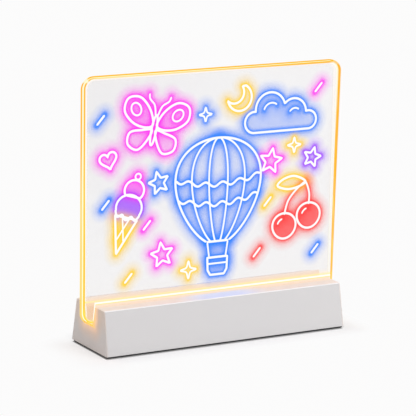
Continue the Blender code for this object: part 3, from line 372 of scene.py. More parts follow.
# The slot's light painted as a glow on the ends: amber round the mouths, gold at their rims
beside = shell.step(z, slot_floor + 1 * MM, slot_floor + 4 * MM)
slot_glow = on_end * (1 - shell.step(distance, 0.5 * MM, 6 * MM)) * (0.15 + 0.22 * beside)
light = shell.mix(slot_glow, UNLIT, AMBER)
light = shell.mix(rim * (0.30 - 0.18 * beside), light, RIM_GOLD)
shell.set("Emission Color", light)
skin = shell.noise(5200, 2) + 0.5 * shell.cells(2600)
shell.set("Roughness", 0.46 + 0.10 * shell.noise(1500, 2))
shell.relief(skin, 0.10, 0.02 * MM)
wear(["base_housing"], shell)

# Bottom cover
# A dark plate of the same kind of plastic, moulded with a coarser skin.  It closes the housing from
# below, and four screws hold it to the housing's posts.
COVER_DARK, COVER_PALE = (0.010, 0.010, 0.011, 1), (0.018, 0.018, 0.019, 1)
plate = Finish("moulded_dark", {"Specular IOR Level": 0.35})
plate.set("Base Color", plate.mix(plate.noise(80, 3), COVER_DARK, COVER_PALE))
plate.set("Roughness", 0.52 + 0.16 * plate.noise(1800, 2))
plate.relief(plate.noise(3000, 3) + plate.cells(1700), 0.25, 0.03 * MM)
wear(["bottom_cover"], plate)

# Foot pads
# Die-cut black rubber discs with a fine grain, a little dusty on the rubbing face.  Each is glued
# into a shallow bed in the cover.
RUBBER_BLACK, RUBBER_DUST = (0.022, 0.022, 0.023, 1), (0.075, 0.073, 0.070, 1)
pad = Finish("pad_rubber", {"Roughness": 0.85, "Specular IOR Level": 0.3})
dust = 0.5 * pad.step(pad.noise(700, 4), 0.45, 0.75)
pad.set("Base Color", pad.mix(dust, RUBBER_BLACK, RUBBER_DUST))
pad.relief(pad.noise(2600, 3), 0.35, 0.04 * MM)
wear([f"foot_pad_{i}" for i in range(1, 5)], pad)

# Screws
# Nickel-plated steel, driven from below, with a cross recess in each head that is drawn about the
# screw's own axis.  Only the cover's four long ones show.
RECESS_LENGTH = 1.25 * MM
RECESS_WIDTH = 0.32 * MM
HEAD_SHARE = 0.06
STEEL_DARK, STEEL_PALE = (0.50, 0.50, 0.52, 1), (0.70, 0.70, 0.72, 1)
RECESS_SHADE = (0.05, 0.05, 0.05, 1)


def cross_recess(finish, across, along):
    """1 inside the arms of a cross recess about the point where both fields are 0."""
    arms = []
    for first, second in ((across, along), (along, across)):
        width = 1 - finish.step(abs(first), 0.75 * RECESS_WIDTH, RECESS_WIDTH)
        length = 1 - finish.step(abs(second), 0.9 * RECESS_LENGTH, RECESS_LENGTH)
        arms.append(width * length)
    return finish.math("MAXIMUM", *arms)


def plated_steel(name, heads=(), head_height=0.0):
    """Plated steel; heads gives the screws' axes, and the recess shows below head_height."""
    steel = Finish(name, {"Metallic": 1.0})
    brushed = steel.noise(2400, 3, (1, 1, 6))
    tone = steel.mix(brushed, STEEL_DARK, STEEL_PALE)
    steel.set("Roughness", 0.24 + 0.18 * brushed)
    x, y, z = steel.place()
    marks = 0
    for head_x, head_y in heads:
        mark = cross_recess(steel, x - head_x, y - head_y)
        marks = steel.math("MAXIMUM", marks, mark)
    if heads:
        marks = marks * (1 - steel.step(z, head_height - 0.1 * MM, head_height))
        tone = steel.mix(marks, tone, RECESS_SHADE)
        steel.relief(1 - marks, 0.6, 0.3 * MM)
    steel.set("Base Color", tone)
    return steel


def axis_of(name):
    """X and Y of the middle of a node's box."""
    low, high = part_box(name)
    return (low.x + high.x) / 2, (low.y + high.y) / 2


def head_top(name):
    """Where the recess ends: a small share of the screw's length above its lowest point."""
    low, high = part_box(name)
    return low.z + HEAD_SHARE * (high.z - low.z)


for group, count in (("cover_screw", 4), ("led_board_screw", 3), ("control_board_screw", 2)):
    names = [f"{group}_{i + 1}" for i in range(count)]
    axes = [axis_of(name) for name in names]
    wear(names, plated_steel(group + "_steel", axes, head_top(names[0])))

# Led board
# White solder mask on a long board, which three screws hold under the slot.  A copper run shows as
# a faint raised track on either side of the leds.
TRACK_PLACE = 3.2 * MM
TRACK_CREAM, MASK_WHITE = (0.80, 0.79, 0.74, 1), (0.88, 0.88, 0.85, 1)
mask = Finish("white_solder_mask", {"Roughness": 0.4, "Coat Weight": 0.3})
y = mask.place()[1]
bare = mask.step(abs(abs(y) - TRACK_PLACE), 0.5 * MM, 0.7 * MM)
mask.set("Base Color", mask.mix(bare, TRACK_CREAM, MASK_WHITE))
mask.relief(1 - bare + 0.2 * mask.noise(2000, 2), 0.3, 0.05 * MM)
wear(["led_board"], mask)

# Leds
# A pale moulded body with a yellow phosphor fill in its cup, which shines when the board is on.
# Twelve are soldered along the middle of the led board.
LED_COUNT = 12
LED_BODY, PHOSPHOR = (0.90, 0.88, 0.80, 1), (0.95, 0.72, 0.18, 1)
LAMPLIGHT = linear("#FFF4C8")
led = Finish("led_phosphor", {"Emission Strength": 2.0})
led_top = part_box("led_1")[1].z
_, y, z = led.place()
cup = 1 - led.step(abs(y), 0.9 * MM, 1.05 * MM)
cup = cup * led.step(z, led_top - 0.6 * MM, led_top - 0.35 * MM)
led.set("Base Color", led.mix(cup, LED_BODY, PHOSPHOR))
led.set("Emission Color", led.mix(cup, UNLIT, LAMPLIGHT))
led.set("Roughness", 0.25 + 0.1 * led.noise(3000, 2))
wear([f"led_{i + 1}" for i in range(LED_COUNT)], led)

# Small black parts
# The coil's ferrite, the resistors, the switch body and the charging socket's tongue: near-black,
# with a fine grain and a slight sheen.
EPOXY_DARK, EPOXY_PALE = (0.014, 0.014, 0.015, 1), (0.034, 0.034, 0.036, 1)
epoxy = Finish("moulded_epoxy", {"Specular IOR Level": 0.4})
speck = epoxy.noise(6000, 3)
epoxy.set("Base Color", epoxy.mix(speck, EPOXY_DARK, EPOXY_PALE))
epoxy.set("Roughness", 0.42 + 0.2 * speck)
epoxy.relief(speck, 0.2, 0.02 * MM)
small_black = ["switch_body", "boost_coil", "charging_socket_tongue"]
small_black += [f"led_resistor_{i}" for i in range(1, 5)]
wear(small_black, epoxy)

# Chips
# Black epoxy with tinned legs at two sides of the body, soldered to the control board.  One chip
# charges the cell, and one drives the leds.
TIN = (0.62, 0.61, 0.60, 1)
tinned = Finish("epoxy_and_tin")
y = tinned.place()[1]
apart = [abs(y - axis_of(name)[1]) for name in ("charger_chip", "driver_chip")]
legs = tinned.step(tinned.math("MINIMUM", *apart), 1.93 * MM, 1.97 * MM)
speck = tinned.noise(6000, 3)
body = tinned.mix(speck, EPOXY_DARK, EPOXY_PALE)
tinned.set("Base Color", tinned.mix(legs, body, TIN))
tinned.set("Metallic", legs)
tinned.set("Roughness", 0.5 - 0.2 * legs)
tinned.relief(speck, 0.15, 0.02 * MM)
wear(["charger_chip", "driver_chip"], tinned)

# Control board
# Green solder mask over copper: the tracks show a shade lighter, in straight runs.  Two screws hold
# the board to the housing's posts.
MASK_DARK, MASK_GREEN = (0.012, 0.115, 0.050, 1), (0.020, 0.155, 0.070, 1)
TRACK_GREEN = (0.060, 0.300, 0.120, 1)
board = Finish("green_solder_mask", {"Coat Weight": 0.4})
runs = board.node(
    "ShaderNodeTexBrick",
    {"offset": 0.37, "squash": 1.0},
    {"Vector": board.along(), "Scale": 170.0, "Mortar Size": 0.035, "Mortar Smooth": 0.2},
)
run = Field(board, runs.outputs["Fac"])
glass = board.noise(1400, 2, (1, 1, 4))
green = board.mix(glass, MASK_DARK, MASK_GREEN)
board.set("Base Color", board.mix(run * 0.7, green, TRACK_GREEN))
board.set("Roughness", 0.30 + 0.15 * glass)
board.relief(run + 0.3 * glass, 0.25, 0.05 * MM)
wear(["control_board"], board)

# Capacitors
# Drawn aluminium cans with fine rings from the drawing and a dark stripe over one side of the top,
# soldered to the control board.
ALUMINIUM_DARK, ALUMINIUM_PALE = (0.66, 0.66, 0.68, 1), (0.80, 0.80, 0.82, 1)
STRIPE = (0.03, 0.03, 0.04, 1)
can = Finish("drawn_can", {"Metallic": 1.0})
rings = can.noise(3000, 2, (1, 1, 9))
_, y, z = can.place()
can_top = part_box("capacitor_1")[1].z
stripe = can.step(y - axis_of("capacitor_1")[1], 0.9 * MM, 1.0 * MM)
stripe = stripe * can.step(z, can_top - 0.2 * MM, can_top)
tone = can.mix(rings, ALUMINIUM_DARK, ALUMINIUM_PALE)
can.set("Base Color", can.mix(stripe, tone, STRIPE))
can.set("Roughness", 0.22 + 0.2 * rings)
wear(["capacitor_1", "capacitor_2"], can)

# Charging socket
# A drawn steel shell, satin inside and out, soldered to the board's edge behind its opening in the
# housing.  The switch's plunger has the same satin steel.
drawn = plated_steel("drawn_shell")
wear(["charging_socket_shell", "switch_plunger"], drawn)

# Power button
# Dark plastic, smoother than the cover and worn a little shiny on its dished front.  Its flange
# keeps it behind the wall, and its stem bears on the switch.
CAP_DARK, CAP_WORN = (0.045, 0.045, 0.048, 1), (0.075, 0.075, 0.078, 1)
cap = Finish("button_cap", {"Specular IOR Level": 0.45})
x, _, z = cap.place()
low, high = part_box("power_button")
across, up = x - (low.x + high.x) / 2, z - (low.z + high.z) / 2
radius = cap.math("SQRT", across * across + up * up)
worn = 1 - cap.step(radius, 0.6 * MM, 2.4 * MM)
cap.set("Base Color", cap.mix(worn * 0.4, CAP_DARK, CAP_WORN))
cap.set("Roughness", 0.46 - 0.14 * worn + 0.08 * cap.noise(3000, 2))
cap.relief(cap.noise(4000, 2) + 2 * cap.step(radius, 0.4 * MM, 2.2 * MM), 0.15, 0.08 * MM)
wear(["power_button"], cap)

# Cell and tape
# The pouch cell's satin laminate is faintly creased; the open-celled foam tape holds it to the
# cover, inside a low fence.
FOIL_GREY, FOIL_PALE = (0.58, 0.59, 0.62, 1), (0.74, 0.75, 0.78, 1)
FOAM_DARK, FOAM_PALE = (0.04, 0.04, 0.04, 1), (0.16, 0.16, 0.16, 1)
foil = Finish("pouch_foil", {"Metallic": 0.6})
crease = foil.noise(130, 4, (1, 1.7, 1))
foil.set("Base Color", foil.mix(crease, FOIL_GREY, FOIL_PALE))
foil.set("Roughness", 0.28 + 0.2 * foil.noise(900, 3))
foil.relief(crease, 0.3, 0.3 * MM)
wear(["battery_cell"], foil)
foam = Finish("open_foam", {"Roughness": 0.95, "Specular IOR Level": 0.1})
pores = foam.cells(2200)
foam.set("Base Color", foam.mix(pores, FOAM_DARK, FOAM_PALE))
foam.relief(pores, 0.7, 0.1 * MM)
wear(["battery_tape"], foam)

# Plugs and leads
# Natural nylon plugs and sockets, and leads in red and black insulation, from the cell and from the
# led board to the control board.
NYLON_CREAM, NYLON_WHITE = (0.82, 0.80, 0.72, 1), (0.90, 0.88, 0.82, 1)
nylon = Finish("natural_nylon", {"Specular IOR Level": 0.4})
cloud = nylon.noise(500, 3)
nylon.set("Base Color", nylon.mix(cloud, NYLON_CREAM, NYLON_WHITE))
nylon.set("Roughness", 0.40 + 0.12 * cloud)
wear(["battery_socket", "battery_plug", "led_socket", "led_plug"], nylon)
for colour, dark, pale in (
    ("red", (0.50, 0.018, 0.018, 1), (0.68, 0.040, 0.035, 1)),
    ("black", (0.014, 0.014, 0.015, 1), (0.032, 0.032, 0.034, 1)),
):
    sleeve = Finish("lead_" + colour, {"Roughness": 0.42, "Coat Weight": 0.15})
    drawn_lines = sleeve.noise(1500, 3)
    sleeve.set("Base Color", sleeve.mix(drawn_lines, dark, pale))
    sleeve.relief(drawn_lines, 0.15, 0.03 * MM)
    wear([f"battery_lead_{colour}", f"led_lead_{colour}"], sleeve)

# Slot liner
# A milky silicone channel that carries the leds' light and grips the sheet's foot.  Its light is
# painted as a glow: a white line runs along the outer side of each lip, and the ends glow round the
# mouths of the slot.
LIP_WHITE = linear("#FFFFF6")
LIP_YELLOW = linear("#FFE680")
LIP_PEACH = linear("#FCE1C8")
INNER_PEACH = linear("#F0DDD0")
DEEP_PEACH = linear("#F6CCA2")
MOUTH_GOLD = linear("#FFC83C")
MOUTH_YELLOW = linear("#FFE070")
SILICONE_DARK, SILICONE_PALE = (0.03, 0.025, 0.02, 1), (0.05, 0.04, 0.03, 1)
# Its outer face: the half-width at the slot's floor, and how far that grows for each step up
LINER_OUTER = 4.9 * MM
LINER_FLARE = 2.6 / 14.2
LINER_SKIN = 1.2 * MM
LINE_LOW, LINE_HIGH = 2.0 * MM, 3.15 * MM
MOUTH_LOW, MOUTH_HIGH = 3.2 * MM, 4.8 * MM

liner = Finish("lit_silicone", {"Specular IOR Level": 0.3, "Emission Strength": 1.0})
x, y, z = liner.place()
rise = z - top_height
deep = LINER_OUTER + LINER_FLARE * (z - liner_low.z) - abs(y)
outside = 1 - liner.step(deep, 0.45 * MM, 0.8 * MM)
line = liner.step(rise, LINE_LOW - 0.25 * MM, LINE_LOW + 0.2 * MM)
line = line * (1 - liner.step(rise, LINE_HIGH - 0.2 * MM, LINE_HIGH + 0.25 * MM))
rims = liner.step(rise, LINE_LOW - 0.85 * MM, LINE_LOW - 0.3 * MM)
band = liner.mix(line, liner.mix(rims, LIP_PEACH, LIP_YELLOW), LIP_WHITE)
inner = liner.mix(liner.step(rise, -4 * MM, 0.5 * MM), DEEP_PEACH, INNER_PEACH)
shine = liner.mix(outside * liner.step(rise, -0.1 * MM, 0.3 * MM), inner, band)
tips = liner.step(abs(x), liner_high.x - 0.35 * MM, liner_high.x - 0.1 * MM)
seam = 1 - liner.step(abs(deep - 0.45 * LINER_SKIN), 0.50 * MM, 0.75 * MM)
above = z - liner_low.z
mouth = liner.mix(liner.step(above, 1.6 * MM, 5.0 * MM), MOUTH_GOLD, MOUTH_YELLOW)
mouth = liner.mix(seam * liner.step(above, MOUTH_LOW, MOUTH_HIGH), mouth, LIP_WHITE)
liner.set("Emission Color", liner.mix(tips, shine, mouth))
liner.set("Base Color", liner.mix(liner.noise(400, 2), SILICONE_DARK, SILICONE_PALE))
liner.set("Roughness", 0.22 + 0.1 * liner.noise(1500, 2))
solid = liner.math("MAXIMUM", liner.step(rise, -3 * MM, 0), tips)
liner.set("Alpha", 0.93 + 0.07 * solid)
wear(["slot_liner"], liner)

# Acrylic sheet
# Cast acrylic, cut by laser and flame-polished.  Light from below, painted as a glow, leaves it at
# its chamfers and edges, glows just above the slot, and gives the faces a faint milky veil.
ORANGE = linear("#FFB400")
GOLD = linear("#FFCA00")
FRINGE = linear("#FFF09C")
PALE_ORANGE = linear("#FFCA3C")
MOUTH_EDGE = linear("#FFD818")
DIM_EDGE = linear("#FFD68C")
PALE_EDGE = linear("#FFFCD8")
HALO_WHITE, HALO_YELLOW = linear("#FFF6EE"), linear("#FFE8A4")
FOOT_PEACH = linear("#FFD79A")
VEIL = (0.16, 0.155, 0.16, 1)
CLEAR_BASE, LIT_BASE = (0.60, 0.59, 0.605, 1), (0.03, 0.025, 0.015, 1)
SHEET_RADIUS = 7.5 * MM
SHEET_CHAMFER = 0.9 * MM
LOWER_FADE, UPPER_RISE = (40 * MM, 150 * MM), (60 * MM, 130 * MM)
panel_low, panel_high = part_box("acrylic_panel")
half_width = panel_high.x
half_thick = panel_high.y
mid_height = (panel_low.z + panel_high.z) / 2
half_height = (panel_high.z - panel_low.z) / 2


def corner_flare(finish):
    """How pale the edge shines in the two upper corners, more so in the left one: a painted
    highlight.
    It grows with the lesser of the distances past the two straight edges' ends, and is 0 along
    those edges."""
    x, _, z = finish.place()
    past_x = abs(x) - (half_width - SHEET_RADIUS)
    past_z = z - mid_height - (half_height - SHEET_RADIUS)
    past_both = finish.math("MINIMUM", past_x, past_z)
    share = finish.step(past_both, 0.50 * SHEET_RADIUS, 0.70 * SHEET_RADIUS)
    return share * (0.9 - 0.60 * finish.step(x, 0, half_width))


lit_clear = {"Roughness": 0.08, "Specular IOR Level": 0.4, "Emission Strength": 1.0}
acrylic = Finish("lit_acrylic", lit_clear)
x, y, z = acrylic.place()
# How far a point lies inside the rounded outline: the radius less its distance past the centre of
# the nearest corner, which is measured straight across or up where only one of the two is past
past_x = abs(x) - (half_width - SHEET_RADIUS)
past_z = abs(z - mid_height) - (half_height - SHEET_RADIUS)
round_x = acrylic.math("MAXIMUM", past_x, 0)
round_z = acrylic.math("MAXIMUM", past_z, 0)
reach = acrylic.math("SQRT", round_x * round_x + round_z * round_z)
reach = acrylic.math("MAXIMUM", reach, acrylic.math("MAXIMUM", past_x, past_z))
inset = SHEET_RADIUS - reach

lower = 1 - acrylic.step(z, *LOWER_FADE)
upper = acrylic.step(z, *UPPER_RISE)
left = 1 - acrylic.step(x, 3 * MM - half_width, 12 * MM - half_width)
right = acrylic.step(x, half_width - 8 * MM, half_width - 2 * MM)
at_mouth = 1 - acrylic.step(z, top_height - 6 * MM, top_height)
top_left = acrylic.step(z, panel_high.z - 3 * MM, panel_high.z - 1.5 * MM) * (1 - left)
top_left = top_left * (1 - acrylic.step(x, -0.4 * half_width, 0.4 * half_width))

# The bright edge, painted as a glow, wider at the right and low down, narrower at the upper
# corners, and the painted halo inside it.  The back half of the right edge is pale and mostly
# clear.
wider = acrylic.step(x, 0, half_width) * (0.35 + 0.9 * lower)
wider = wider - 1.20 * right * acrylic.step(z, 120 * MM, 178 * MM) - 0.30 * left * upper
edge = 1 - acrylic.step(inset / (SHEET_CHAMFER * (0.95 + wider)), 0.9, 1.15)
halo = (1 - acrylic.step(inset, 1.3 * SHEET_CHAMFER, 2.7 * SHEET_CHAMFER)) * (1 - edge)
hidden_edge = acrylic.step(x, half_width - 6 * MM, half_width - 3 * MM)
hidden_edge = hidden_edge * acrylic.step(y, -0.9 * MM, -0.3 * MM)

core = 1 - acrylic.step(abs(y) + 0.25 * MM * left * upper, 0.6 * MM, 0.9 * MM)
core = core * (0.80 - 0.35 * top_left + 0.20 * acrylic.step(acrylic.noise(90, 3), 0.35, 0.6))
weaker = acrylic.step(acrylic.noise(45, 3), 0.45, 0.7)
weaker = weaker * (1 - 0.8 * acrylic.step(z, 90 * MM, 150 * MM))
rim_colour = acrylic.mix(weaker, ORANGE, PALE_ORANGE)
golden = 0.9 * left * (1 - acrylic.step(z, 100 * MM, 170 * MM))
rim_colour = acrylic.mix(golden, rim_colour, GOLD)
rim_colour = acrylic.mix(0.85 * top_left, rim_colour, DIM_EDGE)
rim_colour = acrylic.mix(at_mouth, rim_colour, MOUTH_EDGE)
pale = acrylic.math("MAXIMUM", core, corner_flare(acrylic))
pale = acrylic.math("MAXIMUM", pale, hidden_edge)
edge_colour = acrylic.mix(pale, rim_colour, PALE_EDGE)

# The milky veil, with the light that gathers at the sheet's foot, all painted as a glow
foot = 1 - acrylic.step(z, top_height + 2 * MM, top_height + 6 * MM)
foot = foot * acrylic.step(z, top_height - 2 * MM, top_height + 0.5 * MM)
fringe = acrylic.step(z, top_height + 1.5 * MM, top_height + 2 * MM)
fringe = fringe * acrylic.step(0 - y, 0, half_thick)
fringe = fringe * (1 - acrylic.step(z, top_height + 2.4 * MM, top_height + 3.6 * MM))
veil = acrylic.mix(halo, VEIL, acrylic.mix(at_mouth, HALO_WHITE, HALO_YELLOW))
veil = acrylic.mix(foot * (1 - halo), veil, FOOT_PEACH)
veil = acrylic.mix(fringe, veil, FRINGE)
acrylic.set("Emission Color", acrylic.mix(edge, veil, edge_colour))
lit = acrylic.math("MAXIMUM", edge, acrylic.math("MAXIMUM", halo, foot))
lit = acrylic.math("MAXIMUM", lit, fringe)
acrylic.set("Base Color", acrylic.mix(lit, CLEAR_BASE, LIT_BASE))

# Painted shade: the veil is denser towards the left and higher up, which greys the sheet there
body = 1 - acrylic.step(x, -half_width, half_width * 0.6)
body = 0.15 + 0.10 * body * acrylic.step(z, 40 * MM, 180 * MM) + 0.02 * acrylic.noise(14, 2)
cover = body + halo * 0.55 + foot * 0.05 + fringe * 0.50 + edge
cover = cover * (1 - 0.75 * hidden_edge * edge)
acrylic.set("Alpha", acrylic.math("MINIMUM", cover, 1))
wear(["acrylic_panel"], acrylic)

# Edge glow
# The bloom that the bright edge throws past the sheet, painted on a glowing film in the sheet's
# middle
# plane: full at the edge and clear 1.3 mm above it, 2.4 mm past its left and 1 to 4.2 mm past its
# right, where it widens upwards.  It stops where the corners enter the slot.
BLOOM_LEFT, BLOOM_RIGHT, BLOOM_LEAN = 2.4 * MM, 2.55 * MM, 1.6 * MM
BLOOM_ABOVE = 1.25 * MM
BLOOM_YELLOW = linear("#FFDC6E")
BLOOM_GOLD = linear("#FFBE00")
BLOOM_OUTER = linear("#FFE7B0")
BLOOM_DARK = (0.02, 0.02, 0.01, 1)
BLOOM_RINGS = 5
CORNER_POINTS = 16
GLOW_END = 55


def cells_between(rows, columns):
    """The corners of each cell of a grid whose points are numbered row by row."""
    row, col = np.meshgrid(np.arange(rows - 1), np.arange(columns - 1), indexing="ij")
    first = row * columns + col
    return np.stack([first, first + 1, first + columns + 1, first + columns], 2).reshape(-1, 4)


# A point is a corner's centre plus (radius + reach * fall) * (cos, sin) of its heading.  fall goes
# from 0 on the edge to 1 where the film is clear, and reach has its own value across and up.
corners = []
for sides, start, stop in (
    ((-1, -1), 180 + GLOW_END, 180),
    ((-1, 1), 180, 90),
    ((1, 1), 90, 0),
    ((1, -1), 0, -GLOW_END),
):
    heading = np.radians(np.linspace(start, stop, CORNER_POINTS))
    corners.append(np.stack([np.full(CORNER_POINTS, s) for s in sides] + [heading], 1))
side_x, side_z, heading = np.concatenate(corners).T
fall = np.linspace(0.0, 1.0, BLOOM_RINGS)[:, None]
beside = np.where(side_x < 0, BLOOM_LEFT, BLOOM_RIGHT + BLOOM_LEAN * side_z)
out_x, out_z = SHEET_RADIUS + beside * fall, SHEET_RADIUS + BLOOM_ABOVE * fall
x = side_x * (half_width - SHEET_RADIUS) + out_x * np.cos(heading)
z = mid_height + side_z * (half_height - SHEET_RADIUS) + out_z * np.sin(heading)
places = np.stack([x, np.zeros_like(x), z], 2).reshape(-1, 3)
quads = cells_between(BLOOM_RINGS, len(heading))
edge_glow = new_piece("edge_glow", places.tolist(), quads.tolist())
store(edge_glow, "near", np.repeat(1 - fall, len(heading), 1).ravel())

clear_glow = {"Roughness": 0.6, "Emission Strength": 1.0, "Specular IOR Level": 0.0}
bloom = Finish("edge_bloom", clear_glow)
near = Field(bloom, bloom.stored("near")["Fac"])
patchy = bloom.noise(90, 3)
x, _, z = bloom.place()
left = 1 - bloom.step(x, -half_width, 3 * MM - half_width)
right = bloom.step(x, half_width - 3 * MM, half_width)
above = bloom.step(z, panel_high.z - 2 * MM, panel_high.z) * (1 - left)
upper = bloom.step(z, *UPPER_RISE)
full_colour = left * (1 - bloom.step(z, 90 * MM, 150 * MM))
full_colour = bloom.mix(full_colour, ORANGE, BLOOM_YELLOW)
full_colour = bloom.mix(above, full_colour, BLOOM_GOLD)
rim_colour = bloom.mix(bloom.step(near, 0.04, 0.20), BLOOM_OUTER, full_colour)
pale = bloom.step(near - 0.1 * above + 0.16 * left * upper, 0.70, 0.82) * (1 - right)
inner = right * bloom.step(z, 130 * MM, 178 * MM) * bloom.step(near, 0.58, 0.72)
pale = bloom.math("MAXIMUM", pale, inner)
pale = bloom.math("MAXIMUM", pale, corner_flare(bloom))
bloom.set("Emission Color", bloom.mix(pale, rim_colour, PALE_EDGE))
bloom.set("Base Color", bloom.mix(patchy, UNLIT, BLOOM_DARK))
bloom.set("Alpha", bloom.step(near, 0.0, 0.22) * (0.84 + 0.10 * above + 0.22 * patchy))
edge_glow.data.materials.append(bloom.material)
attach(edge_glow, "panel")

# Marker drawing
# Fluorescent marker ink a tenth of a millimetre thick, drawn by hand on the sheet's front face with
# a bullet tip.  Its light from below is painted as a glow: a stroke is white in its middle and
# keeps its colour at its rims.
INK_WIDTH = 2.0 * MM
INK_HEIGHT = 0.12 * MM
INK_GAP = 0.04 * MM
STEP = 0.6 * MM
BEAD_ACROSS = np.array([-1, -0.62, 0, 0.62, 1, 0.62, 0, -0.62])
BEAD_RISE = np.array([0, 0.8, 1, 0.8, 0, 0, 0, 0])
END_BLUNT = 0.96
BLUE, PINK, VIOLET = linear("#2F86FF"), linear("#FF3CF2"), linear("#A445FF")
RED, YELLOW = linear("#FF4444"), linear("#FFD42A")
CORE_TINT = 0.06
INK_DARK, INK_PALE = (0.02, 0.02, 0.02, 1), (0.05, 0.05, 0.05, 1)


def arc(centre, radii, start=0, stop=360, turn=0, bow=0.0):
    """Part of an oval, with a point about every 4 degrees.  At angle t a point lies (across sin t
    (1 + bow cos t), up cos t) from the centre, then all is turned; bow makes it narrower below."""
    t = np.radians(np.linspace(start, stop, 3 + int(abs(stop - start) / 4)))
    points = np.stack([radii[0] * np.sin(t) * (1 + bow * np.cos(t)), radii[1] * np.cos(t)], 1)
    return moved(points, centre, turn)


def moved(points, centre, turn=0, size=1):
    """The points scaled, turned clockwise by turn degrees, and shifted to the centre."""
    a = math.radians(turn)
    spin = np.array([[math.cos(a), -math.sin(a)], [math.sin(a), math.cos(a)]])
    return size * np.asarray(points, float) @ spin + np.asarray(centre, float)


def flowing(points, closed=False):
    """A smooth curve through the points: between two of them it is the cubic, in twelve steps,
    whose slope at a point is half the step from the point before to the point after."""
    p = np.asarray(points, float)
    if closed:
        before, after, last = np.roll(p, 1, 0), np.roll(p, -1, 0), np.roll(p, -2, 0)
    else:
        before = np.vstack([p[:1], p[:-2]])
        after, last = p[1:], np.vstack([p[2:], p[-1:]])
        p = p[:-1]
    t = np.linspace(0, 1, 12, endpoint=False)[None, :, None]
    p, before, after, last = (a[:, None, :] for a in (p, before, after, last))
    slope_in, slope_out = (after - before) / 2, (last - p) / 2
    curve = p * (2 * t**3 - 3 * t**2 + 1) + after * (3 * t**2 - 2 * t**3)
    curve += slope_in * (t**3 - 2 * t**2 + t) + slope_out * (t**3 - t**2)
    curve = curve.reshape(-1, 2)
    return curve if closed else np.vstack([curve, np.asarray(points, float)[-1:]])


def star(centre, size, turn, inner=0.46, rays=5):
    """A ring of points that lie by turns at the full size and at the inner share of it."""
    t = np.pi * np.arange(2 * rays) / rays
    reach = np.where(np.arange(2 * rays) % 2, inner, 1.0) * size
    return moved(np.stack([reach * np.sin(t), reach * np.cos(t)], 1), centre, turn)


def heart(centre, size, turn):
    """Across is 16 sin^3 t; up is 13 cos t - 5 cos 2t - 2 cos 3t - cos 4t."""
    t = np.linspace(0, 2 * np.pi, 48, endpoint=False)
    up = 13 * np.cos(t) - 5 * np.cos(2 * t) - 2 * np.cos(3 * t) - np.cos(4 * t)
    return moved(np.stack([16 * np.sin(t) ** 3, up], 1), centre, turn, size / 16)


strokes = []


def draw(colour, points, closed=False, fill=0.0, width=1.0):
    """Adds a stroke.  Points are millimetres across and up from the middle of the foot line; fill
    is how strongly the colour shines inside a closed one."""
    p = np.asarray(points, float) * MM
    ring = np.vstack([p, p[:1]]) if closed else p
    run = np.concatenate([[0], np.cumsum(np.hypot(*np.diff(ring, axis=0).T))])
    count = max(4, int(round(run[-1] / STEP)))
    at = np.linspace(0, run[-1], count + 1)[: count if closed else None]
    even = np.stack([np.interp(at, run, ring[:, 0]), np.interp(at, run, ring[:, 1])], 1)
    strokes.append((colour, even, closed, fill, width))


# Balloon, with gores, two bands, ropes and a wicker basket
BALLOON = (4, 103)
draw(BLUE, arc(BALLOON, (33, 38), -159, 159, bow=0.27))
for share in (-0.62, -0.22, 0.22, 0.62):
    draw(BLUE, arc(BALLOON, (33 * share, 38), 6, 159, bow=0.27), width=0.8)
t = np.linspace(-1, 1, 49)
for level, reach in ((113, 33.6), (99, 31.6)):
    wave = 1.6 * np.sin(t * 5 * np.pi)
    draw(BLUE, np.stack([BALLOON[0] + reach * t, level - 5 * (1 - t * t) + wave], 1))
for side in (-1, 1):
    draw(BLUE, [(BALLOON[0] + 8.2 * side, 67), (BALLOON[0] + 6.6 * side, 56.5)], width=0.8)
draw(BLUE, [(BALLOON[0] - 8.8, 67.4), (BALLOON[0] + 8.8, 67.4)])
basket = [(-8, 56), (8, 56), (7.6, 47), (5.5, 43.5), (-5.5, 43.5), (-7.6, 47)]
draw(BLUE, moved(basket, (BALLOON[0], 0)), closed=True, fill=0.55)
draw(BLUE, moved([(-7.6, 51.5), (7.6, 51.5)], (BALLOON[0], 0)), width=0.8)

# Butterfly and a small heart
BUTTERFLY, LEAN = (-47, 152), 12
upper = [(1.5, 2), (6, 12), (15, 19), (24, 17), (25, 8), (17, 1), (7, -1)]
lower = [(1.5, -2), (9, -3), (18, -6), (18, -14), (10, -17), (4, -10)]
for side in (-1, 1):
    for wing in (upper, lower):
        outline = flowing([(side * x, z) for x, z in wing], closed=True)
        draw(PINK, moved(outline, BUTTERFLY, LEAN), closed=True, fill=0.42)
    spot = moved(arc((side * 16.5, 10.5), (3.6, 4.6), turn=side * 40), BUTTERFLY, LEAN)
    draw(PINK, spot, closed=True, width=0.8)
    feeler = flowing([(side * 0.8, 8), (side * 3, 15), (side * 7.5, 19), (side * 8.5, 22.5)])
    draw(PINK, moved(feeler, BUTTERFLY, LEAN), width=0.8)
draw(PINK, moved(arc((0, -2), (1.9, 10.5)), BUTTERFLY, LEAN), closed=True, fill=0.6)
draw(PINK, heart((-82, 132), 6.5, -14), closed=True, fill=0.5)

# Cloud and moon
cloud = [
    arc((32, 149.5), (7.5, 7.5), 180, 368),
    arc((45, 158), (12, 12), 265, 434),
    arc((64, 154.5), (10, 10), 312, 449),
    arc((76, 148.5), (6.5, 6.5), -18, 180),
]
draw(BLUE, np.vstack(cloud), closed=True, fill=0.38)
draw(BLUE, arc((46, 156), (6.5, 6.5), 285, 400), width=0.8)
draw(BLUE, arc((65, 152.5), (5, 5), 300, 400), width=0.8)
moon = np.vstack([arc((20, 168), (9.5, 9.5), 30, 250), arc((15.7, 171.6), (7.6, 7.6), 225, 56)])
draw(YELLOW, moon, closed=True, fill=0.5)

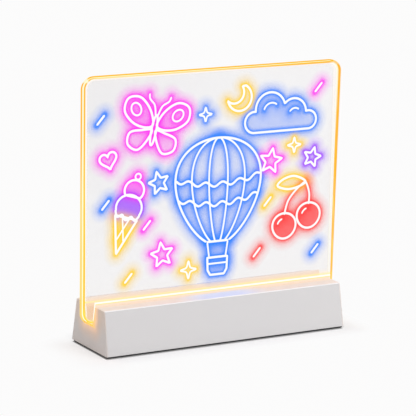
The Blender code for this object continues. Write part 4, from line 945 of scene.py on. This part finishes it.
# Two scoops of ice in a cone
CONE, TILT = (-69, 88), 17
draw(YELLOW, moved([(-8.8, 3), (8.8, 3), (0, -23)], CONE, TILT), closed=True, fill=0.35)
for side in (-1, 1):
    draw(YELLOW, moved([(-side * 2.9, 3), (side * 2.8, -13.6)], CONE, TILT), width=0.7)
drip = flowing([(-9.5, 6), (-7, 2.2), (-3.6, 4.4), (0, 1.2), (3.6, 4.4), (7, 2.2), (9.5, 6)])
scoop = np.vstack([arc((0, 10), (10, 9), -112, 112), drip[::-1]])
draw(VIOLET, moved(scoop, CONE, TILT), closed=True, fill=0.8)
draw(PINK, moved(arc((0.5, 22.5), (7.5, 7.2), -128, 128), CONE, TILT), closed=True, fill=0.65)
draw(PINK, moved(arc((0.5, 32.3), (2.1, 2.1)), CONE, TILT), closed=True, fill=0.8, width=0.8)

# Cherries
for centre in ((58, 73), (78, 79)):
    draw(RED, arc(centre, (9.6, 9.2), bow=0.06), closed=True, fill=0.86)
    draw(RED, arc(centre, (5.6, 5.4), 285, 345), width=0.8)
draw(RED, flowing([(58, 81), (61, 91), (68, 99), (75, 104)]), width=0.9)
draw(RED, flowing([(78, 87), (78.5, 94), (77, 100), (75, 104)]), width=0.9)
leaf = [(75, 104), (66, 108.5), (57, 107), (52, 102.5), (60, 99.5), (69, 100.5)]
draw(YELLOW, flowing(leaf, closed=True), closed=True, fill=0.45)

# Stars, sparkles and dashes
for colour, centre, size, turn in (
    (PINK, (46, 121), 9.2, 10),
    (BLUE, (-43, 113), 8.2, -14),
    (VIOLET, (80, 121), 7.4, 16),
    (PINK, (-40, 62), 9.0, -8),
):
    draw(colour, star(centre, size, turn), closed=True, fill=0.5)
for colour, centre, size in (
    (YELLOW, (-19, 49), 6.2),
    (YELLOW, (65, 131), 5.4),
    (BLUE, (-7, 158), 5.0),
):
    sparkle = flowing(star(centre, size, 0, 0.38, 4), closed=True)
    draw(colour, sparkle, closed=True, fill=0.5, width=0.8)
for colour, x, z in (
    (BLUE, -84, 101), (YELLOW, -66, 48), (PINK, -52, 84), (PINK, 84, 171),
    (RED, 36, 56), (BLUE, 84, 54), (YELLOW, 44, 92), (BLUE, -88, 160),
):
    draw(colour, [(x - 3, z - 3.4), (x + 3, z + 3.4)])


def bead(path, closed, half_width):
    """A low dome with a flat back on the sheet, as rings of corners along the path.  A corner lies
    BEAD_ACROSS half-widths beside the path and BEAD_RISE ink heights out from the back.  The
    half-width is full along the stroke and follows a blunted half-circle at a free end."""
    if closed:
        ahead = np.roll(path, -1, 0) - np.roll(path, 1, 0)
    else:
        ahead = np.gradient(path, axis=0)
    ahead /= np.maximum(np.hypot(*ahead.T), 1e-9)[:, None]
    run = np.arange(len(path)) * STEP
    from_end = np.minimum(run, run[-1] - run)
    taper = np.sqrt(1 - np.clip(1 - from_end / half_width, 0, END_BLUNT) ** 2)
    reach = half_width * (np.ones(len(path)) if closed else taper)
    shift = reach[:, None] * BEAD_ACROSS[None, :]
    x = path[:, :1] - ahead[:, 1:] * shift
    z = path[:, 1:] + ahead[:, :1] * shift
    y = -half_thick - INK_GAP - BEAD_RISE[None, :] * INK_HEIGHT + 0 * x
    corners = np.stack([x, y, z], 2).reshape(-1, 3)
    count, sides = len(path), len(BEAD_ACROSS)
    rows = np.arange(count if closed else count - 1)
    ring, side = np.meshgrid(rows * sides, np.arange(sides), indexing="ij")
    after, beside = (ring + sides) % (count * sides), (side + 1) % sides
    faces = np.stack([ring + side, ring + beside, after + beside, after + side], 2)
    faces = faces.reshape(-1, 4).tolist()
    if not closed:
        last = (count - 1) * sides
        faces += [list(range(sides - 1, -1, -1)), list(range(last, last + sides))]
    return corners, faces, np.tile(np.abs(BEAD_ACROSS), count)


corners, faces, rims, tints, start = [], [], [], [], 0
for colour, path, closed, _, width in strokes:
    points, polygons, rim = bead(path, closed, width * INK_WIDTH / 2)
    faces += [[start + i for i in polygon] for polygon in polygons]
    corners.append(points)
    rims.append(rim)
    tints.append(np.tile(colour, (len(points), 1)))
    start += len(points)
ink_lines = new_piece("marker_strokes", np.concatenate(corners).tolist(), faces)
store(ink_lines, "rim", np.concatenate(rims))
store(ink_lines, "ink", np.concatenate(tints))

ink = Finish("fluorescent_ink", {"Emission Strength": 1.0, "Specular IOR Level": 0.2})
tint = ink.stored("ink")["Color"]
streak = ink.noise(900, 3)
edge = Field(ink, ink.stored("rim")["Fac"]) + 0.16 * (streak - 0.5)
core = ink.mix(CORE_TINT, (1, 1, 1, 1), tint)
ink.set("Emission Color", ink.mix(ink.step(edge, 0.70, 1.0), core, tint))
ink.set("Base Color", ink.mix(streak, INK_DARK, INK_PALE))
ink.set("Roughness", 0.38 + 0.2 * streak)
ink.relief(streak, 0.2, 0.03 * MM)
ink_lines.data.materials.append(ink.material)
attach(ink_lines, "panel")

# Glow of the ink
# The light that a stroke scatters inside the sheet, painted on a glowing film: strong beside the
# ink, faint a centimetre away, and a tint over what the closed figures enclose.  The film lies
# inside the ink's height.
GLOW_GAP = 0.08 * MM
GLOW_MARGIN, GLOW_START = 1.5 * MM, 1.0 * MM
CELL = 0.75 * MM
REACH = np.array([0, 1.6, 2.5, 3.9, 5.3, 7.4, 9.6]) * MM
SHARE = np.array([0.95, 0.90, 0.60, 0.35, 0.21, 0.085, 0.0])
FAINTEST = 0.004

# On a grid of spots, a stroke's share falls with the distance to it.  Opacity is 1 less the product
# of every 1 - share, and the colour is the mean of the strokes' colours, weighed by share squared.
across = np.arange(GLOW_MARGIN - half_width, half_width - GLOW_MARGIN, CELL)
up = np.arange(top_height + GLOW_START, panel_high.z - GLOW_MARGIN, CELL)
clear = np.ones((len(up), len(across)))
weight = np.zeros((len(up), len(across)))
tinted_light = np.zeros((len(up), len(across), 3))
for colour, path, _, fill, width in strokes:
    low, high = path.min(0) - REACH[-1], path.max(0) + REACH[-1]
    cols = slice(*np.searchsorted(across, (low[0], high[0])))
    rows = slice(*np.searchsorted(up, (low[1], high[1])))
    x, z = across[cols][None, :, None], up[rows][:, None, None]
    apart = np.sqrt(((x - path[:, 0]) ** 2 + (z - path[:, 1]) ** 2).min(2))
    share = np.interp(apart, REACH, SHARE * min(1.0, 0.5 + 0.5 * width))
    if fill:
        # A spot is inside where a level line from it crosses the outline an odd number of times
        one, two = path, np.roll(path, -1, 0)
        spans = (one[:, 1] > z) != (two[:, 1] > z)
        rise = np.where(one[:, 1] == two[:, 1], 1, two[:, 1] - one[:, 1])
        crossing = one[:, 0] + (z - one[:, 1]) * (two[:, 0] - one[:, 0]) / rise
        inside = (spans & (x < crossing)).sum(2) % 2 == 1
        share = np.where(inside, np.maximum(share, fill), share)
    clear[rows, cols] *= 1 - share
    weight[rows, cols] += share**2
    tinted_light[rows, cols] += (share**2)[..., None] * np.array(colour[:3])
opacity = 1 - clear
light = tinted_light / np.maximum(weight, 1e-9)[..., None]

x, z = np.meshgrid(across, up)
y = np.full_like(x, -half_thick - GLOW_GAP)
quads = cells_between(len(up), len(across))
lit_quads = quads[(opacity.ravel()[quads] > FAINTEST).any(1)]
used, renumbered = np.unique(lit_quads, return_inverse=True)
places = np.stack([x, y, z], 2).reshape(-1, 3)[used]
halo_film = new_piece("marker_glow", places.tolist(), renumbered.reshape(-1, 4).tolist())
film = np.concatenate([light.reshape(-1, 3)[used], opacity.reshape(-1, 1)[used]], 1)
store(halo_film, "ink", film)

haze = Finish("ink_glow", clear_glow)
film = haze.stored("ink")
cloudy = haze.noise(350, 2)
haze.set("Base Color", haze.mix(cloudy, UNLIT, INK_DARK))
haze.set("Emission Color", film["Color"])
haze.set("Alpha", Field(haze, film["Alpha"]) * (0.94 + 0.12 * cloudy))
halo_film.data.materials.append(haze.material)
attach(halo_film, "panel")

bpy.context.view_layer.update()
